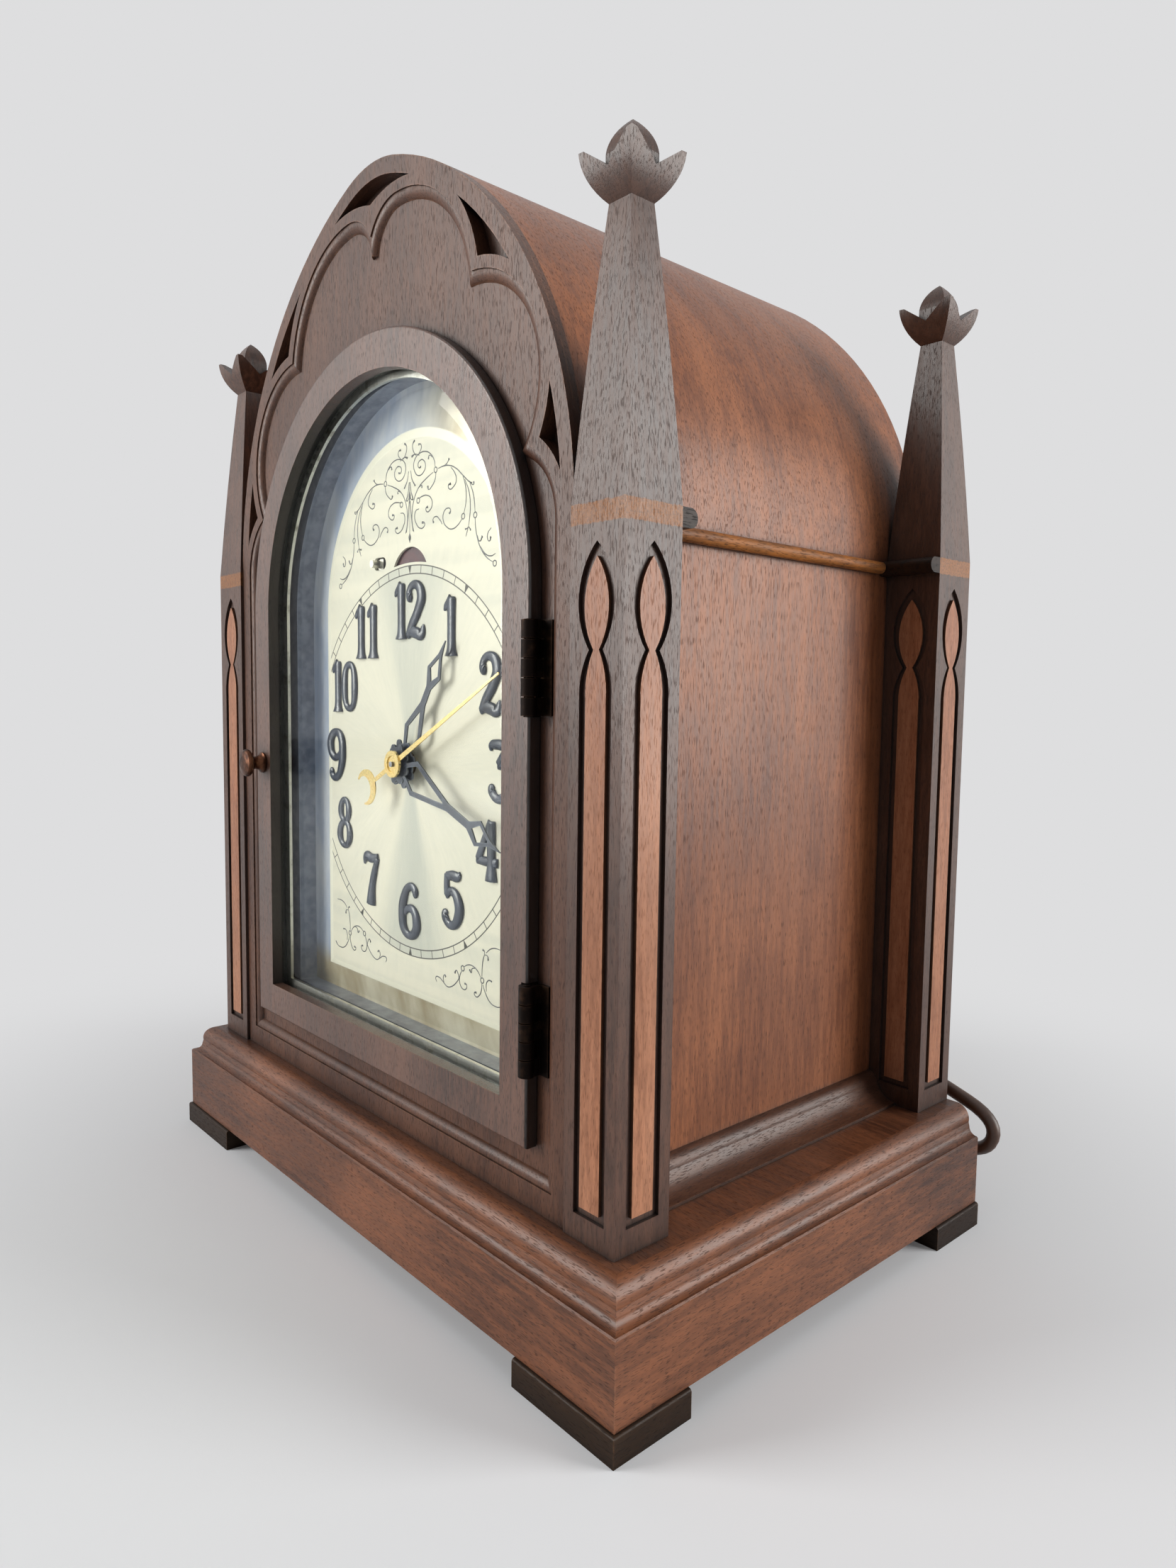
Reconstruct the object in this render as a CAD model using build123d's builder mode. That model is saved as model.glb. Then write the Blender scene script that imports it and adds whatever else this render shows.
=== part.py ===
from build123d import *
import math
import os

os.makedirs("parts", exist_ok=True)

# Plinth and feet
plinth_width = 280.0
plinth_depth = 185.9
plinth_top = 44.0
plinth_face_top = 33.4
plinth_cove_in = 3.5
plinth_cove_rise = 2.8
plinth_step_rise = 1.6
plinth_edge_in = 8.6
foot_height = 8.4
foot_proud = 1.2
foot_front_leg = 42.0
foot_side_leg = 29.0
foot_leg_width = 16.0

# Posts, spires and finials
post_size = 21.0
post_side_step = 13.0
post_front_step = 11.5
spire_foot = 245.1
spire_mid_rise = 53.3
spire_mid_half = 6.4
spire_rise = 76.75
spire_top_half = 4.18
leaf_rise = 12.6
leaf_half = 9.9
bud_half = 4.9
bud_rise = 8.4
leaf_notch_depth = 5.8
leaf_tip_width = 1.6

# Inlay on the posts
groove_half = 6.3
groove_depth = 1.2
groove_line = 2.3
inlay_foot_rise = 7.5
inlay_shoulder_rise = 149.5
inlay_waist_rise = 162.8
inlay_tip_rise = 191.0
inlay_waist_half = 2.7
almond_half = 7.0

# Collar beads and side rods
collar_height = 242.4
bead_radius = 2.7
bead_reach = 6.0
side_rod_radius = 2.2
rod_end_gap = 1.0
rod_set_out = 1.6

# Case arch
arch_spring = 243.6
drawn_half = 106.0
drawn_side_r = 131.1
drawn_top_r = 48.3
shell_thick = 5.0
shell_fit = 0.15

# Tracery
tracery_step = 12.6
tracery_thick = 2.3
sill_edge = 51.7
bead_width = 3.5
bead_step = 0.5
drawn_top_x = 15.0
drawn_top_up = 68.9
drawn_top_foil = 44.0
drawn_crown_foil = 17.0
drawn_mid_x = 56.0
drawn_mid_up = 40.4
drawn_mid_foil = 35.7
drawn_low_x = 75.4
drawn_low_up = -0.6
drawn_low_foil = 24.0
pocket_rim = 5.4
pocket_band = 3.6
pocket_depth = 3.0

# Front panel and opening
panel_rim = 2.2
panel_body = 5.9
opening_half = 84.0
opening_sill = 68.5

# Side coves
cove_out = 11.4
cove_rise = 10.6

# Front door
door_half = 90.0
door_foot = 62.5
door_spring = 225.5
door_proud = 4.5
door_gap = 0.35
door_side_gap = 0.8
frame_width = 12.6
rim_gap = 1.0
rim_wall = 3.8
rim_depth = 5.2
glass_bevel = 7.5
glass_edge = 1.8
glass_thick = 3.0
glass_fit = 0.4
retainer_width = 3.2
retainer_thick = 1.2
knob_x = 84.0
knob_height = 166.4
knob_face_r = 5.5
knob_neck_r = 3.0
knob_reach = 8.7

# Front door hinges
hinge_out = 0.4
hinge_forward = 0.2
hinge_length = 26.8
hinge_upper = 202.4
hinge_lower = 98.2
barrel_r = 2.4
pin_r = 1.0
pin_press = 0.02
pin_run = 0.06
knuckle_gap = 0.3
leaf_thick = 1.0
leaf_web_out = 0.8
leaf_foot = 4.6
hinge_clear = 0.4

# Back door and back rail
rail_height = 13.0
rail_thick = 5.4
back_inset = 0.6
back_thick = 4.0
back_gap = 0.8
back_hinge_in = 3.1
back_hinge_deep = 0.4
back_barrel_r = 1.8
back_hinge_length = 22.0
back_hinge_upper = 190.0
back_hinge_lower = 92.0
back_knob_r = 5.0
slot_length = 60.0
slot_width = 4.0
slot_pitch = 12.0
slot_count = 3
slot_lower = 110.0
slot_upper = 250.0

# Dial
spacer_thick = 7.4
spacer_clear = 9.0
spacer_inner = 77.8
dial_rise = 2.5
dial_sheet = 0.8
dial_centre_half = 58.5
dial_border_half = 75.5
dial_flange_half = 82.0
dial_centre_foot = 87.0
dial_edge = 0.8
dial_height = 170.0
dial_hole_r = 4.2
numeral_height = 20.5
numeral_radius = 53.0
numeral_stroke = 4.3
numeral_rise = 1.2
window_half = 10.7
window_foot = 70.5
window_rise = 6.3
lever_x = 22.5
lever_height = 242.6
lever_arm = 14.0
lever_pin_r = 1.4
lever_travel = 4.0
flag_r = 12.4
flag_thick = 0.5

# Hands
hand_thick = 0.6
hour_length = 51.0
hour_angle = 33.0
minute_length = 66.0
minute_angle = 112.0
seconds_length = 69.5
seconds_angle = 63.0
seconds_tail = 21.0
hand_rail = 1.5
boss_r = 7.4
seconds_hub_r = 4.8
hour_hand_out = 3.2
hand_pitch = 1.8

# Movement frame
motion_room = 10.0
frame_plate = 2.0
frame_gap = 42.0
frame_half = 46.0
frame_top = 214.0
seat_height = 112.0
seat_thick = 6.0
seat_step = 4.5
seat_depth = 110.0
cleat_size = 10.0
pillar_r = 4.0
pillar_in = 8.0
screw_r = 2.0
dial_screw_x = 79.0
dial_screw_lower = 90.0
dial_screw_upper = 210.0

# Wheels
motion_module = 0.625
third_module = 0.5
cannon_teeth = 12
minute_teeth = 36
minute_pinion_teeth = 10
hour_teeth = 40
centre_teeth = 64
third_pinion_teeth = 8
third_teeth = 60
seconds_pinion_teeth = 8
wheel_thick = 1.5
seconds_arbor_r = 1.0
minute_tube_r = 2.0
hour_pipe_r = 3.3
stud_r = 1.5
run_fit = 0.05
set_turn = -60.0
set_arbor_r = 1.5
set_knob_r = 9.0

# Motor
motor_x = -16.0
motor_clear = 4.0
rotor_r = 17.0
rotor_length = 28.0
core_half = 28.0
core_stack = 14.0
core_stand = 7.0
core_top = 56.0
core_foot = 20.0
coil_wall = 6.0
coil_half = 16.0
core_bar = 12.0

# Chime
hammer_x = -8.0
hammer_height = 92.0
hammer_reach = 34.0
hammer_pitch = 9.5
hammer_count = 4
hammer_head_r = 4.0
hammer_rest_gap = 0.3
chime_in = 20.0
cheek_thick = 2.0
rod_r = 1.5
rod_gap = 1.5
rod_longest = 150.0
rod_step = 6.0
drum_r = 6.0
drum_pin_rise = 1.6
tail_gap = 0.4
block_x = -88.0
block_width = 16.0

# Mains cord
cord_d = 5.0
cord_exit_x = 72.0
cord_exit_z = 50.5
bushing_r = 4.5
coil_x = 8.0
coil_y = 56.0
coil_outer = 41.0
coil_pitch = 5.7
coil_layer = 5.6
coil_turns = 5
coil_draw = 2.5
coil_rest = 1.8
tie_wall = 1.2
tie_width = 8.0
plug_r = 9.4
plug_length = 28.0
blade_length = 16.0

# Planes from front to back
back = (plinth_depth + foot_proud) / 2
plinth_front = back - plinth_depth
post_front = plinth_front + post_front_step
tracery_front = plinth_front + tracery_step
panel_front = tracery_front + tracery_thick
board_back = panel_front + panel_rim
spacer_front = board_back + panel_body
spacer_back = spacer_front + spacer_thick
dial_front = spacer_back - dial_rise
door_front = panel_front - door_proud
door_back = panel_front - door_gap
rim_back = door_back + rim_depth
plate_front = dial_front + motion_room
rear_plate = plate_front + frame_plate + frame_gap
half_width = plinth_width / 2
case_half = half_width - post_side_step - post_size
shell_in = case_half - shell_thick
spacer_half = shell_in - spacer_clear

# Arch and tracery grow with the case from the half width that they are drawn for
arch_scale = case_half / drawn_half
arch_side_r = drawn_side_r * arch_scale
arch_top_r = drawn_top_r * arch_scale
foil_top_x = drawn_top_x * arch_scale
foil_top_z = arch_spring + drawn_top_up * arch_scale
foil_top_r = drawn_top_foil * arch_scale
foil_crown_r = drawn_crown_foil * arch_scale
foil_mid_x = drawn_mid_x * arch_scale
foil_mid_z = arch_spring + drawn_mid_up * arch_scale
foil_mid_r = drawn_mid_foil * arch_scale
foil_low_x = drawn_low_x * arch_scale
foil_low_z = arch_spring + drawn_low_up * arch_scale
foil_low_r = drawn_low_foil * arch_scale

# Motor above the seat board
motor_height = seat_height + seat_thick + motor_clear + core_foot


# Helpers that draw in the front view
def arch_face(inset, foot):
    half = case_half - inset
    side_r = arch_side_r - inset
    top_r = arch_top_r - inset
    side_x = case_half - arch_side_r
    lift = math.sqrt((arch_side_r - arch_top_r) ** 2 - side_x ** 2)
    turn = math.atan2(lift, -side_x)
    touch = (side_x + side_r * math.cos(turn), arch_spring + side_r * math.sin(turn))
    flank = (side_x + side_r * math.cos(turn / 2), arch_spring + side_r * math.sin(turn / 2))
    with BuildSketch(Plane.XY) as shape:
        with BuildLine():
            Line((-half, foot), (half, foot))
            Line((half, foot), (half, arch_spring))
            ThreePointArc((half, arch_spring), flank, touch)
            ThreePointArc(touch, (0, arch_spring + lift + top_r), (-touch[0], touch[1]))
            ThreePointArc((-touch[0], touch[1]), (-flank[0], flank[1]), (-half, arch_spring))
            Line((-half, arch_spring), (-half, foot))
        make_face()
    return shape.sketch


def door_shape(half, foot):
    with BuildSketch(Plane.XY) as shape:
        with BuildLine():
            Line((-half, foot), (half, foot))
            Line((half, foot), (half, door_spring))
            ThreePointArc((half, door_spring), (0, door_spring + half), (-half, door_spring))
            Line((-half, door_spring), (-half, foot))
        make_face()
    return shape.sketch


def post_shape():
    cup_foot = spire_foot + spire_rise
    tip = cup_foot + leaf_rise
    with BuildSketch(Plane.XY) as shape:
        with BuildLine():
            Line((0, plinth_top), (post_size / 2, plinth_top))
            Line((post_size / 2, plinth_top), (post_size / 2, spire_foot))
            ThreePointArc(
                (post_size / 2, spire_foot),
                (spire_mid_half, spire_foot + spire_mid_rise),
                (spire_top_half, cup_foot),
            )
            ThreePointArc(
                (spire_top_half, cup_foot),
                (leaf_half * 0.81, cup_foot + leaf_rise * 0.43),
                (leaf_half, tip),
            )
            Line((leaf_half, tip), (bud_half, tip - 0.3))
            ThreePointArc(
                (bud_half, tip - 0.3),
                (bud_half * 0.79, tip + bud_rise * 0.43),
                (0, tip + bud_rise),
            )
            mirror(about=Plane.YZ)
        make_face()
    return shape.sketch


def inlay_shape(inset):
    foot = plinth_top + inlay_foot_rise + inset
    shoulder = plinth_top + inlay_shoulder_rise
    waist = plinth_top + inlay_waist_rise
    tip = plinth_top + inlay_tip_rise - inset * 1.7
    edge = groove_half - inset
    neck = inlay_waist_half - inset * 0.7
    bulge = almond_half - inset
    with BuildSketch(Plane.XY) as shape:
        with BuildLine():
            Line((0, foot), (edge, foot))
            Line((edge, foot), (edge, shoulder))
            ThreePointArc(
                (edge, shoulder),
                (edge * 0.8 + neck * 0.2, shoulder * 0.45 + waist * 0.55),
                (neck, waist),
            )
            ThreePointArc(
                (neck, waist),
                (bulge, waist * 0.54 + tip * 0.46),
                (0, tip),
            )
            mirror(about=Plane.YZ)
        make_face()
    return shape.sketch


def gear_shape(teeth, module, tooth_angle):
    tip_r = module * (teeth / 2 + 0.75)
    root_r = module * (teeth / 2 - 1.0)
    pitch = 2 * math.pi / teeth
    corners = []
    for n in range(teeth):
        middle = math.radians(tooth_angle) + n * pitch
        for radius, spread in ((root_r, -0.25), (tip_r, -0.11), (tip_r, 0.11), (root_r, 0.25)):
            angle = middle + spread * pitch
            corners.append((radius * math.cos(angle), radius * math.sin(angle)))
    with BuildSketch(Plane.XY) as shape:
        Polygon(*corners, align=None)
    return shape.sketch


# Helpers that add solids to the piece being built
def slab(face, y0, y1, mode=Mode.ADD):
    with BuildSketch(Plane.XZ.offset(-y0)) as flat:
        add(face)
    extrude(flat.sketch, amount=y0 - y1, mode=mode)


def block(x0, x1, y0, y1, z0, z1, mode=Mode.ADD):
    with Locations(((x0 + x1) / 2, (y0 + y1) / 2, (z0 + z1) / 2)):
        Box(x1 - x0, y1 - y0, z1 - z0, mode=mode)


def shaft(x, z, radius, y0, y1, mode=Mode.ADD):
    with Locations(Location((x, (y0 + y1) / 2, z), (90, 0, 0))):
        Cylinder(radius, y1 - y0, mode=mode)


def upright(x, y, radius, z0, z1, mode=Mode.ADD):
    with Locations((x, y, (z0 + z1) / 2)):
        Cylinder(radius, z1 - z0, mode=mode)


# Base plinth: the same moulded edge on the front and both sides
def plinth_edge(reach):
    cove_top = plinth_face_top + plinth_cove_rise
    return [
        (reach, foot_height),
        (reach, plinth_face_top - 0.5),
        (reach - 0.5, plinth_face_top),
        (reach - 1.0, plinth_face_top),
        (reach - plinth_cove_in, cove_top),
        (reach - plinth_cove_in - 0.4, cove_top + plinth_step_rise),
        (reach - plinth_edge_in, plinth_top),
    ]


with BuildPart() as base_plinth:
    corner = plinth_edge(half_width)
    with BuildSketch(Plane.XZ.offset(-back)):
        with BuildLine():
            Polyline((0, foot_height), *corner[:4])
            ThreePointArc(
                corner[3],
                (corner[3][0] - plinth_cove_in * 0.42, corner[3][1] + plinth_cove_rise * 0.25),
                corner[4],
            )
            Line(corner[4], corner[5])
            ThreePointArc(
                corner[5],
                (corner[5][0] * 0.8 + corner[6][0] * 0.2, corner[5][1] * 0.34 + corner[6][1] * 0.66),
                corner[6],
            )
            Line(corner[6], (0, plinth_top))
            mirror(about=Plane.YZ)
        make_face()
    extrude(amount=plinth_depth)
    side = plinth_edge(plinth_depth)
    side_plane = Plane(origin=(-half_width, back, 0), x_dir=(0, -1, 0), z_dir=(-1, 0, 0))
    with BuildSketch(side_plane):
        with BuildLine():
            Polyline((0, plinth_top), (0, foot_height), *side[:4])
            ThreePointArc(
                side[3],
                (side[3][0] - plinth_cove_in * 0.42, side[3][1] + plinth_cove_rise * 0.25),
                side[4],
            )
            Line(side[4], side[5])
            ThreePointArc(
                side[5],
                (side[5][0] * 0.8 + side[6][0] * 0.2, side[5][1] * 0.34 + side[6][1] * 0.66),
                side[6],
            )
            Line(side[6], (0, plinth_top))
        make_face()
    extrude(amount=-plinth_width, mode=Mode.INTERSECT)

# Corner feet: L pads, a little proud of the plinth in front and at the sides
with BuildPart() as corner_feet:
    foot_x = half_width + foot_proud
    foot_y = plinth_front - foot_proud
    for sign in (-1, 1):
        outer = sorted((sign * foot_x, sign * (foot_x - foot_front_leg)))
        strip = sorted((sign * foot_x, sign * (foot_x - foot_leg_width)))
        block(*outer, foot_y, foot_y + foot_leg_width, 0, foot_height)
        block(*strip, foot_y, foot_y + foot_side_leg, 0, foot_height)
        block(*outer, back - foot_leg_width, back, 0, foot_height)
        block(*strip, back - foot_side_leg, back, 0, foot_height)
    rims = corner_feet.edges().filter_by_position(Axis.Z, foot_height, foot_height)
    outer_rims = rims.filter_by(Axis.Y).filter_by(lambda e: abs(e.center().X) > foot_x - 0.1)
    front_rims = rims.filter_by(Axis.X).filter_by(lambda e: e.center().Y < foot_y + 0.1)
    fillet(outer_rims + front_rims, foot_proud * 0.8)

# Posts: one profile seen from the front crossed with the same profile seen from the side
post_names = ["post_front_left", "post_front_right", "post_rear_left", "post_rear_right"]
post_centre = case_half + post_size / 2
post_spots = [
    (-post_centre, post_front + post_size / 2),
    (post_centre, post_front + post_size / 2),
    (-post_centre, back - post_size / 2),
    (post_centre, back - post_size / 2),
]
leaf_top = spire_foot + spire_rise + leaf_rise
for post_name, (px, py) in zip(post_names, post_spots):
    out = math.copysign(1, px)
    with BuildPart() as post:
        with BuildSketch(Plane.XZ.offset(-py - post_size / 2).shift_origin((px, py + post_size / 2, 0))):
            add(post_shape())
        extrude(amount=post_size)
        with BuildSketch(Plane(origin=(px - post_size / 2, py, 0), x_dir=(0, 1, 0), z_dir=(1, 0, 0))):
            add(post_shape())
        extrude(amount=post_size, mode=Mode.INTERSECT)
        notch = [
            (-leaf_half + leaf_tip_width, leaf_top + 0.1),
            (0, leaf_top - leaf_notch_depth),
            (leaf_half - leaf_tip_width, leaf_top + 0.1),
        ]
        for turn in range(4):
            wall = Plane(
                origin=(
                    px + bud_half * math.sin(turn * math.pi / 2),
                    py - bud_half * math.cos(turn * math.pi / 2),
                    0,
                ),
                x_dir=(math.cos(turn * math.pi / 2), math.sin(turn * math.pi / 2), 0),
                z_dir=(math.sin(turn * math.pi / 2), -math.cos(turn * math.pi / 2), 0),
            )
            with BuildSketch(wall):
                Polygon(*notch, align=None)
            extrude(amount=leaf_half, mode=Mode.SUBTRACT)
        with BuildSketch(Plane(origin=(px, py - post_size / 2, 0), x_dir=(1, 0, 0), z_dir=(0, -1, 0))):
            add(inlay_shape(0))
        extrude(amount=-groove_depth, mode=Mode.SUBTRACT)
        with BuildSketch(Plane(origin=(px + out * post_size / 2, py, 0), x_dir=(0, out, 0), z_dir=(out, 0, 0))):
            add(inlay_shape(0))
        extrude(amount=-groove_depth, mode=Mode.SUBTRACT)
    post.part.label = post_name
    export_step(post.part, f"parts/{post_name}.step")

with BuildPart() as post_inlays:
    for px, py in post_spots:
        out = math.copysign(1, px)
        front_floor = py - post_size / 2 + groove_depth
        side_floor = px + out * (post_size / 2 - groove_depth)
        with BuildSketch(Plane(origin=(px, front_floor, 0), x_dir=(1, 0, 0), z_dir=(0, -1, 0))):
            add(inlay_shape(groove_line))
        extrude(amount=groove_depth - 0.1)
        with BuildSketch(Plane(origin=(side_floor, py, 0), x_dir=(0, out, 0), z_dir=(out, 0, 0))):
            add(inlay_shape(groove_line))
        extrude(amount=groove_depth - 0.1)

# Round nosed beads on the inner faces of the posts, and the rods between them
front_inner = post_front + post_size
rear_inner = back - post_size
with BuildPart() as collar_rods:
    for sign in (-1, 1):
        for seat, way in ((front_inner, 1), (rear_inner, -1)):
            nose = seat + way * (bead_reach - bead_radius)
            with Locations(Location((sign * post_centre, nose, collar_height), (0, 90, 0))):
                Cylinder(bead_radius, post_size)
            block(
                sign * post_centre - post_size / 2,
                sign * post_centre + post_size / 2,
                min(seat, nose),
                max(seat, nose),
                collar_height - bead_radius,
                collar_height + bead_radius,
            )
    for sign in (-1, 1):
        shaft(
            sign * (case_half + rod_set_out),
            collar_height,
            side_rod_radius,
            front_inner + bead_reach + rod_end_gap,
            rear_inner - bead_reach - rod_end_gap,
        )
    block(-case_half, case_half, plinth_front, back, 0, leaf_top, Mode.SUBTRACT)

# Case shell, bent from side to side
with BuildPart() as case_shell:
    slab(arch_face(0, plinth_top), board_back, back)
    slab(arch_face(shell_thick, plinth_top), board_back, back, Mode.SUBTRACT)

# Pockets in the spandrels of the tracery
with BuildSketch(Plane.XY) as pockets:
    add(arch_face(pocket_rim, foil_low_z))
    core = [
        (-foil_low_x, foil_low_z),
        (foil_low_x, foil_low_z),
        (foil_mid_x, foil_mid_z + foil_mid_r * 0.5),
        (foil_top_x, foil_top_z + foil_top_r * 0.5),
        (0, foil_top_z + foil_top_r - foil_crown_r + 4),
        (-foil_top_x, foil_top_z + foil_top_r * 0.5),
        (-foil_mid_x, foil_mid_z + foil_mid_r * 0.5),
    ]
    Polygon(*core, align=None, mode=Mode.SUBTRACT)
    for sign in (-1, 1):
        with Locations((sign * foil_top_x, foil_top_z)):
            Circle(foil_top_r + pocket_band, mode=Mode.SUBTRACT)
        with Locations((sign * foil_mid_x, foil_mid_z)):
            Circle(foil_mid_r + pocket_band, mode=Mode.SUBTRACT)
        with Locations((sign * foil_low_x, foil_low_z)):
            Circle(foil_low_r + pocket_band, mode=Mode.SUBTRACT)

# Front panel, with its rim between the tracery and the shell
with BuildPart() as front_panel:
    slab(arch_face(0, plinth_top), panel_front, board_back)
    slab(arch_face(shell_thick + shell_fit, plinth_top), board_back, spacer_front)
    slab(door_shape(opening_half, opening_sill), panel_front, spacer_front, Mode.SUBTRACT)
    slab(pockets.sketch, panel_front, panel_front + pocket_depth, Mode.SUBTRACT)


# Tracery: each foil is turned out of the board with a bead left round its edge
def foil_cut(x, z, radius):
    rise = panel_front - tracery_front
    with BuildSketch(Plane(origin=(x, 0, z), x_dir=(1, 0, 0), z_dir=(0, 0, 1))) as profile:
        with BuildLine():
            Polyline(
                (radius - bead_width, panel_front + 0.5),
                (0, panel_front + 0.5),
                (0, tracery_front - 1),
                (radius, tracery_front - 1),
                (radius, tracery_front + bead_step),
            )
            ThreePointArc(
                (radius, tracery_front + bead_step),
                (radius - bead_width * 0.68, tracery_front + bead_step + rise * 0.2),
                (radius - bead_width, panel_front),
            )
            Line((radius - bead_width, panel_front), (radius - bead_width, panel_front + 0.5))
        make_face()
    return revolve(profile.sketch, Axis((x, 0, z), (0, 1, 0)), 360, mode=Mode.PRIVATE)


def edge_profile(near, far):
    rise = panel_front - tracery_front
    inward = math.copysign(1, far - near)
    return [
        (near, tracery_front - 1),
        (near, tracery_front + bead_step),
        (near + inward * bead_width * 0.68, tracery_front + bead_step + rise * 0.2),
        (near + inward * bead_width, panel_front),
        (near + inward * bead_width, panel_front + 0.5),
    ]


leg_edge = foil_low_x + foil_low_r
with BuildPart() as lower_cut:
    right = edge_profile(leg_edge, 0)
    left = edge_profile(-leg_edge, 0)
    with BuildSketch(Plane.XY.offset(sill_edge - 1)):
        with BuildLine():
            Line(right[0], right[1])
            ThreePointArc(right[1], right[2], right[3])
            Line(right[3], right[4])
            Line(right[4], left[4])
            Line(left[4], left[3])
            ThreePointArc(left[3], left[2], left[1])
            Line(left[1], left[0])
            Line(left[0], right[0])
        make_face()
    extrude(amount=foil_low_z - sill_edge + 1)
    sill = edge_profile(sill_edge, foil_low_z)
    with BuildSketch(Plane(origin=(-half_width, 0, 0), x_dir=(0, 0, 1), z_dir=(-1, 0, 0))):
        with BuildLine():
            Line((sill[0][0], sill[0][1]), (sill[1][0], sill[1][1]))
            ThreePointArc(
                (sill[1][0], sill[1][1]),
                (sill[2][0], sill[2][1]),
                (sill[3][0], sill[3][1]),
            )
            Line((sill[3][0], sill[3][1]), (sill[4][0], sill[4][1]))
            Line((sill[4][0], sill[4][1]), (foil_low_z + 1, sill[4][1]))
            Line((foil_low_z + 1, sill[4][1]), (foil_low_z + 1, sill[0][1]))
            Line((foil_low_z + 1, sill[0][1]), (sill[0][0], sill[0][1]))
        make_face()
    extrude(amount=-plinth_width, mode=Mode.INTERSECT)

foil_cuts = []
for sign in (-1, 1):
    crown_z = foil_top_z + foil_top_r - foil_crown_r
    top_half = foil_cut(sign * foil_top_x, foil_top_z, foil_top_r)
    beside = Box(foil_top_r * 2, plinth_depth, foil_top_r * 3, mode=Mode.PRIVATE)
    shift = sign * (foil_top_x + foil_top_r)
    foil_cuts.append(top_half & beside.moved(Location((shift, tracery_front, foil_top_z))))
    foil_cuts.append(foil_cut(sign * foil_top_x, crown_z, foil_crown_r))
    foil_cuts.append(foil_cut(sign * foil_mid_x, foil_mid_z, foil_mid_r))
    foil_cuts.append(foil_cut(sign * foil_low_x, foil_low_z, foil_low_r))

with BuildPart() as tracery_frame:
    slab(arch_face(0, plinth_top), tracery_front, panel_front)
    middle = [
        (-foil_low_x, foil_low_z - 1),
        (foil_low_x, foil_low_z - 1),
        (foil_mid_x, foil_mid_z + foil_mid_r * 0.5),
        (foil_top_x * 1.4, foil_top_z + foil_top_r * 0.4),
        (foil_top_x * 0.6, foil_top_z + foil_top_r - foil_crown_r),
        (0, foil_top_z + foil_top_r - foil_crown_r + 2),
        (-foil_top_x * 0.6, foil_top_z + foil_top_r - foil_crown_r),
        (-foil_top_x * 1.4, foil_top_z + foil_top_r * 0.4),
        (-foil_mid_x, foil_mid_z + foil_mid_r * 0.5),
    ]
    with BuildSketch(Plane.XZ.offset(-tracery_front + 1)):
        Polygon(*middle, align=None)
    extrude(amount=-tracery_thick - 2, mode=Mode.SUBTRACT)
    add(lower_cut.part, mode=Mode.SUBTRACT)
    for cut in foil_cuts:
        add(cut, mode=Mode.SUBTRACT)
    slab(pockets.sketch, tracery_front - 1, panel_front + 1, Mode.SUBTRACT)
    slab(
        door_shape(door_half + door_side_gap, door_foot - door_side_gap),
        tracery_front - 1, panel_front + 1, Mode.SUBTRACT,
    )

# Coves that close the joint between the side panels and the plinth
with BuildPart() as side_coves:
    with BuildSketch(Plane.XZ.offset(-front_inner)):
        with BuildLine():
            Line((case_half, plinth_top), (case_half + cove_out, plinth_top))
            Line((case_half + cove_out, plinth_top), (case_half + cove_out, plinth_top + 1))
            ThreePointArc(
                (case_half + cove_out, plinth_top + 1),
                (case_half + cove_out * 0.52, plinth_top + cove_rise * 0.3),
                (case_half + cove_out * 0.32, plinth_top + cove_rise * 0.64),
            )
            ThreePointArc(
                (case_half + cove_out * 0.32, plinth_top + cove_rise * 0.64),
                (case_half + cove_out * 0.2, plinth_top + cove_rise * 0.9),
                (case_half, plinth_top + cove_rise),
            )
            Line((case_half, plinth_top + cove_rise), (case_half, plinth_top))
        make_face()
        mirror(about=Plane.YZ)
    extrude(amount=front_inner - rear_inner)

# Back rail under the back door, with the hole for the cord bushing
with BuildPart() as back_rail:
    block(
        -shell_in + shell_fit, shell_in - shell_fit,
        back - back_inset - rail_thick, back - back_inset,
        plinth_top, plinth_top + rail_height,
    )
    shaft(cord_exit_x, cord_exit_z, bushing_r, back - 20, back + 1, Mode.SUBTRACT)

# Front door
sight_half = door_half - frame_width
sight_foot = door_foot + frame_width
rim_half = opening_half - rim_gap
rim_foot = opening_sill + rim_gap
axis_x = door_half + hinge_out
axis_y = door_front - hinge_forward
hinge_spots = (hinge_lower, hinge_upper)
with BuildPart() as door_frame:
    slab(door_shape(door_half, door_foot), door_front, door_back)
    front_edges = door_frame.edges().filter_by_position(Axis.Y, door_front, door_front)
    fillet(front_edges, 0.9)
    slab(door_shape(rim_half, rim_foot), door_back, rim_back)
    slab(door_shape(sight_half, sight_foot), door_front, door_back, Mode.SUBTRACT)
    slab(door_shape(rim_half - rim_wall, rim_foot + rim_wall), door_back, rim_back, Mode.SUBTRACT)
    for height in hinge_spots:
        low = height - hinge_length / 2 - hinge_clear
        high = height + hinge_length / 2 + hinge_clear
        upright(axis_x, axis_y, barrel_r + hinge_clear, low, high, Mode.SUBTRACT)
        block(
            door_half - leaf_thick - pin_press, door_half + 1,
            door_front, door_back + 0.01, low, high, Mode.SUBTRACT,
        )

glass_half = rim_half - rim_wall - glass_fit
glass_foot = rim_foot + rim_wall + glass_fit
glass_back = door_back + glass_thick
with BuildPart() as door_glass:
    slab(door_shape(glass_half, glass_foot), glass_back - glass_edge, glass_back)
    with BuildSketch(Plane.XZ.offset(-glass_back + glass_edge)):
        add(door_shape(glass_half, glass_foot))
    with BuildSketch(Plane.XZ.offset(-door_back)):
        add(door_shape(glass_half - glass_bevel, glass_foot + glass_bevel))
    loft()

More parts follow.
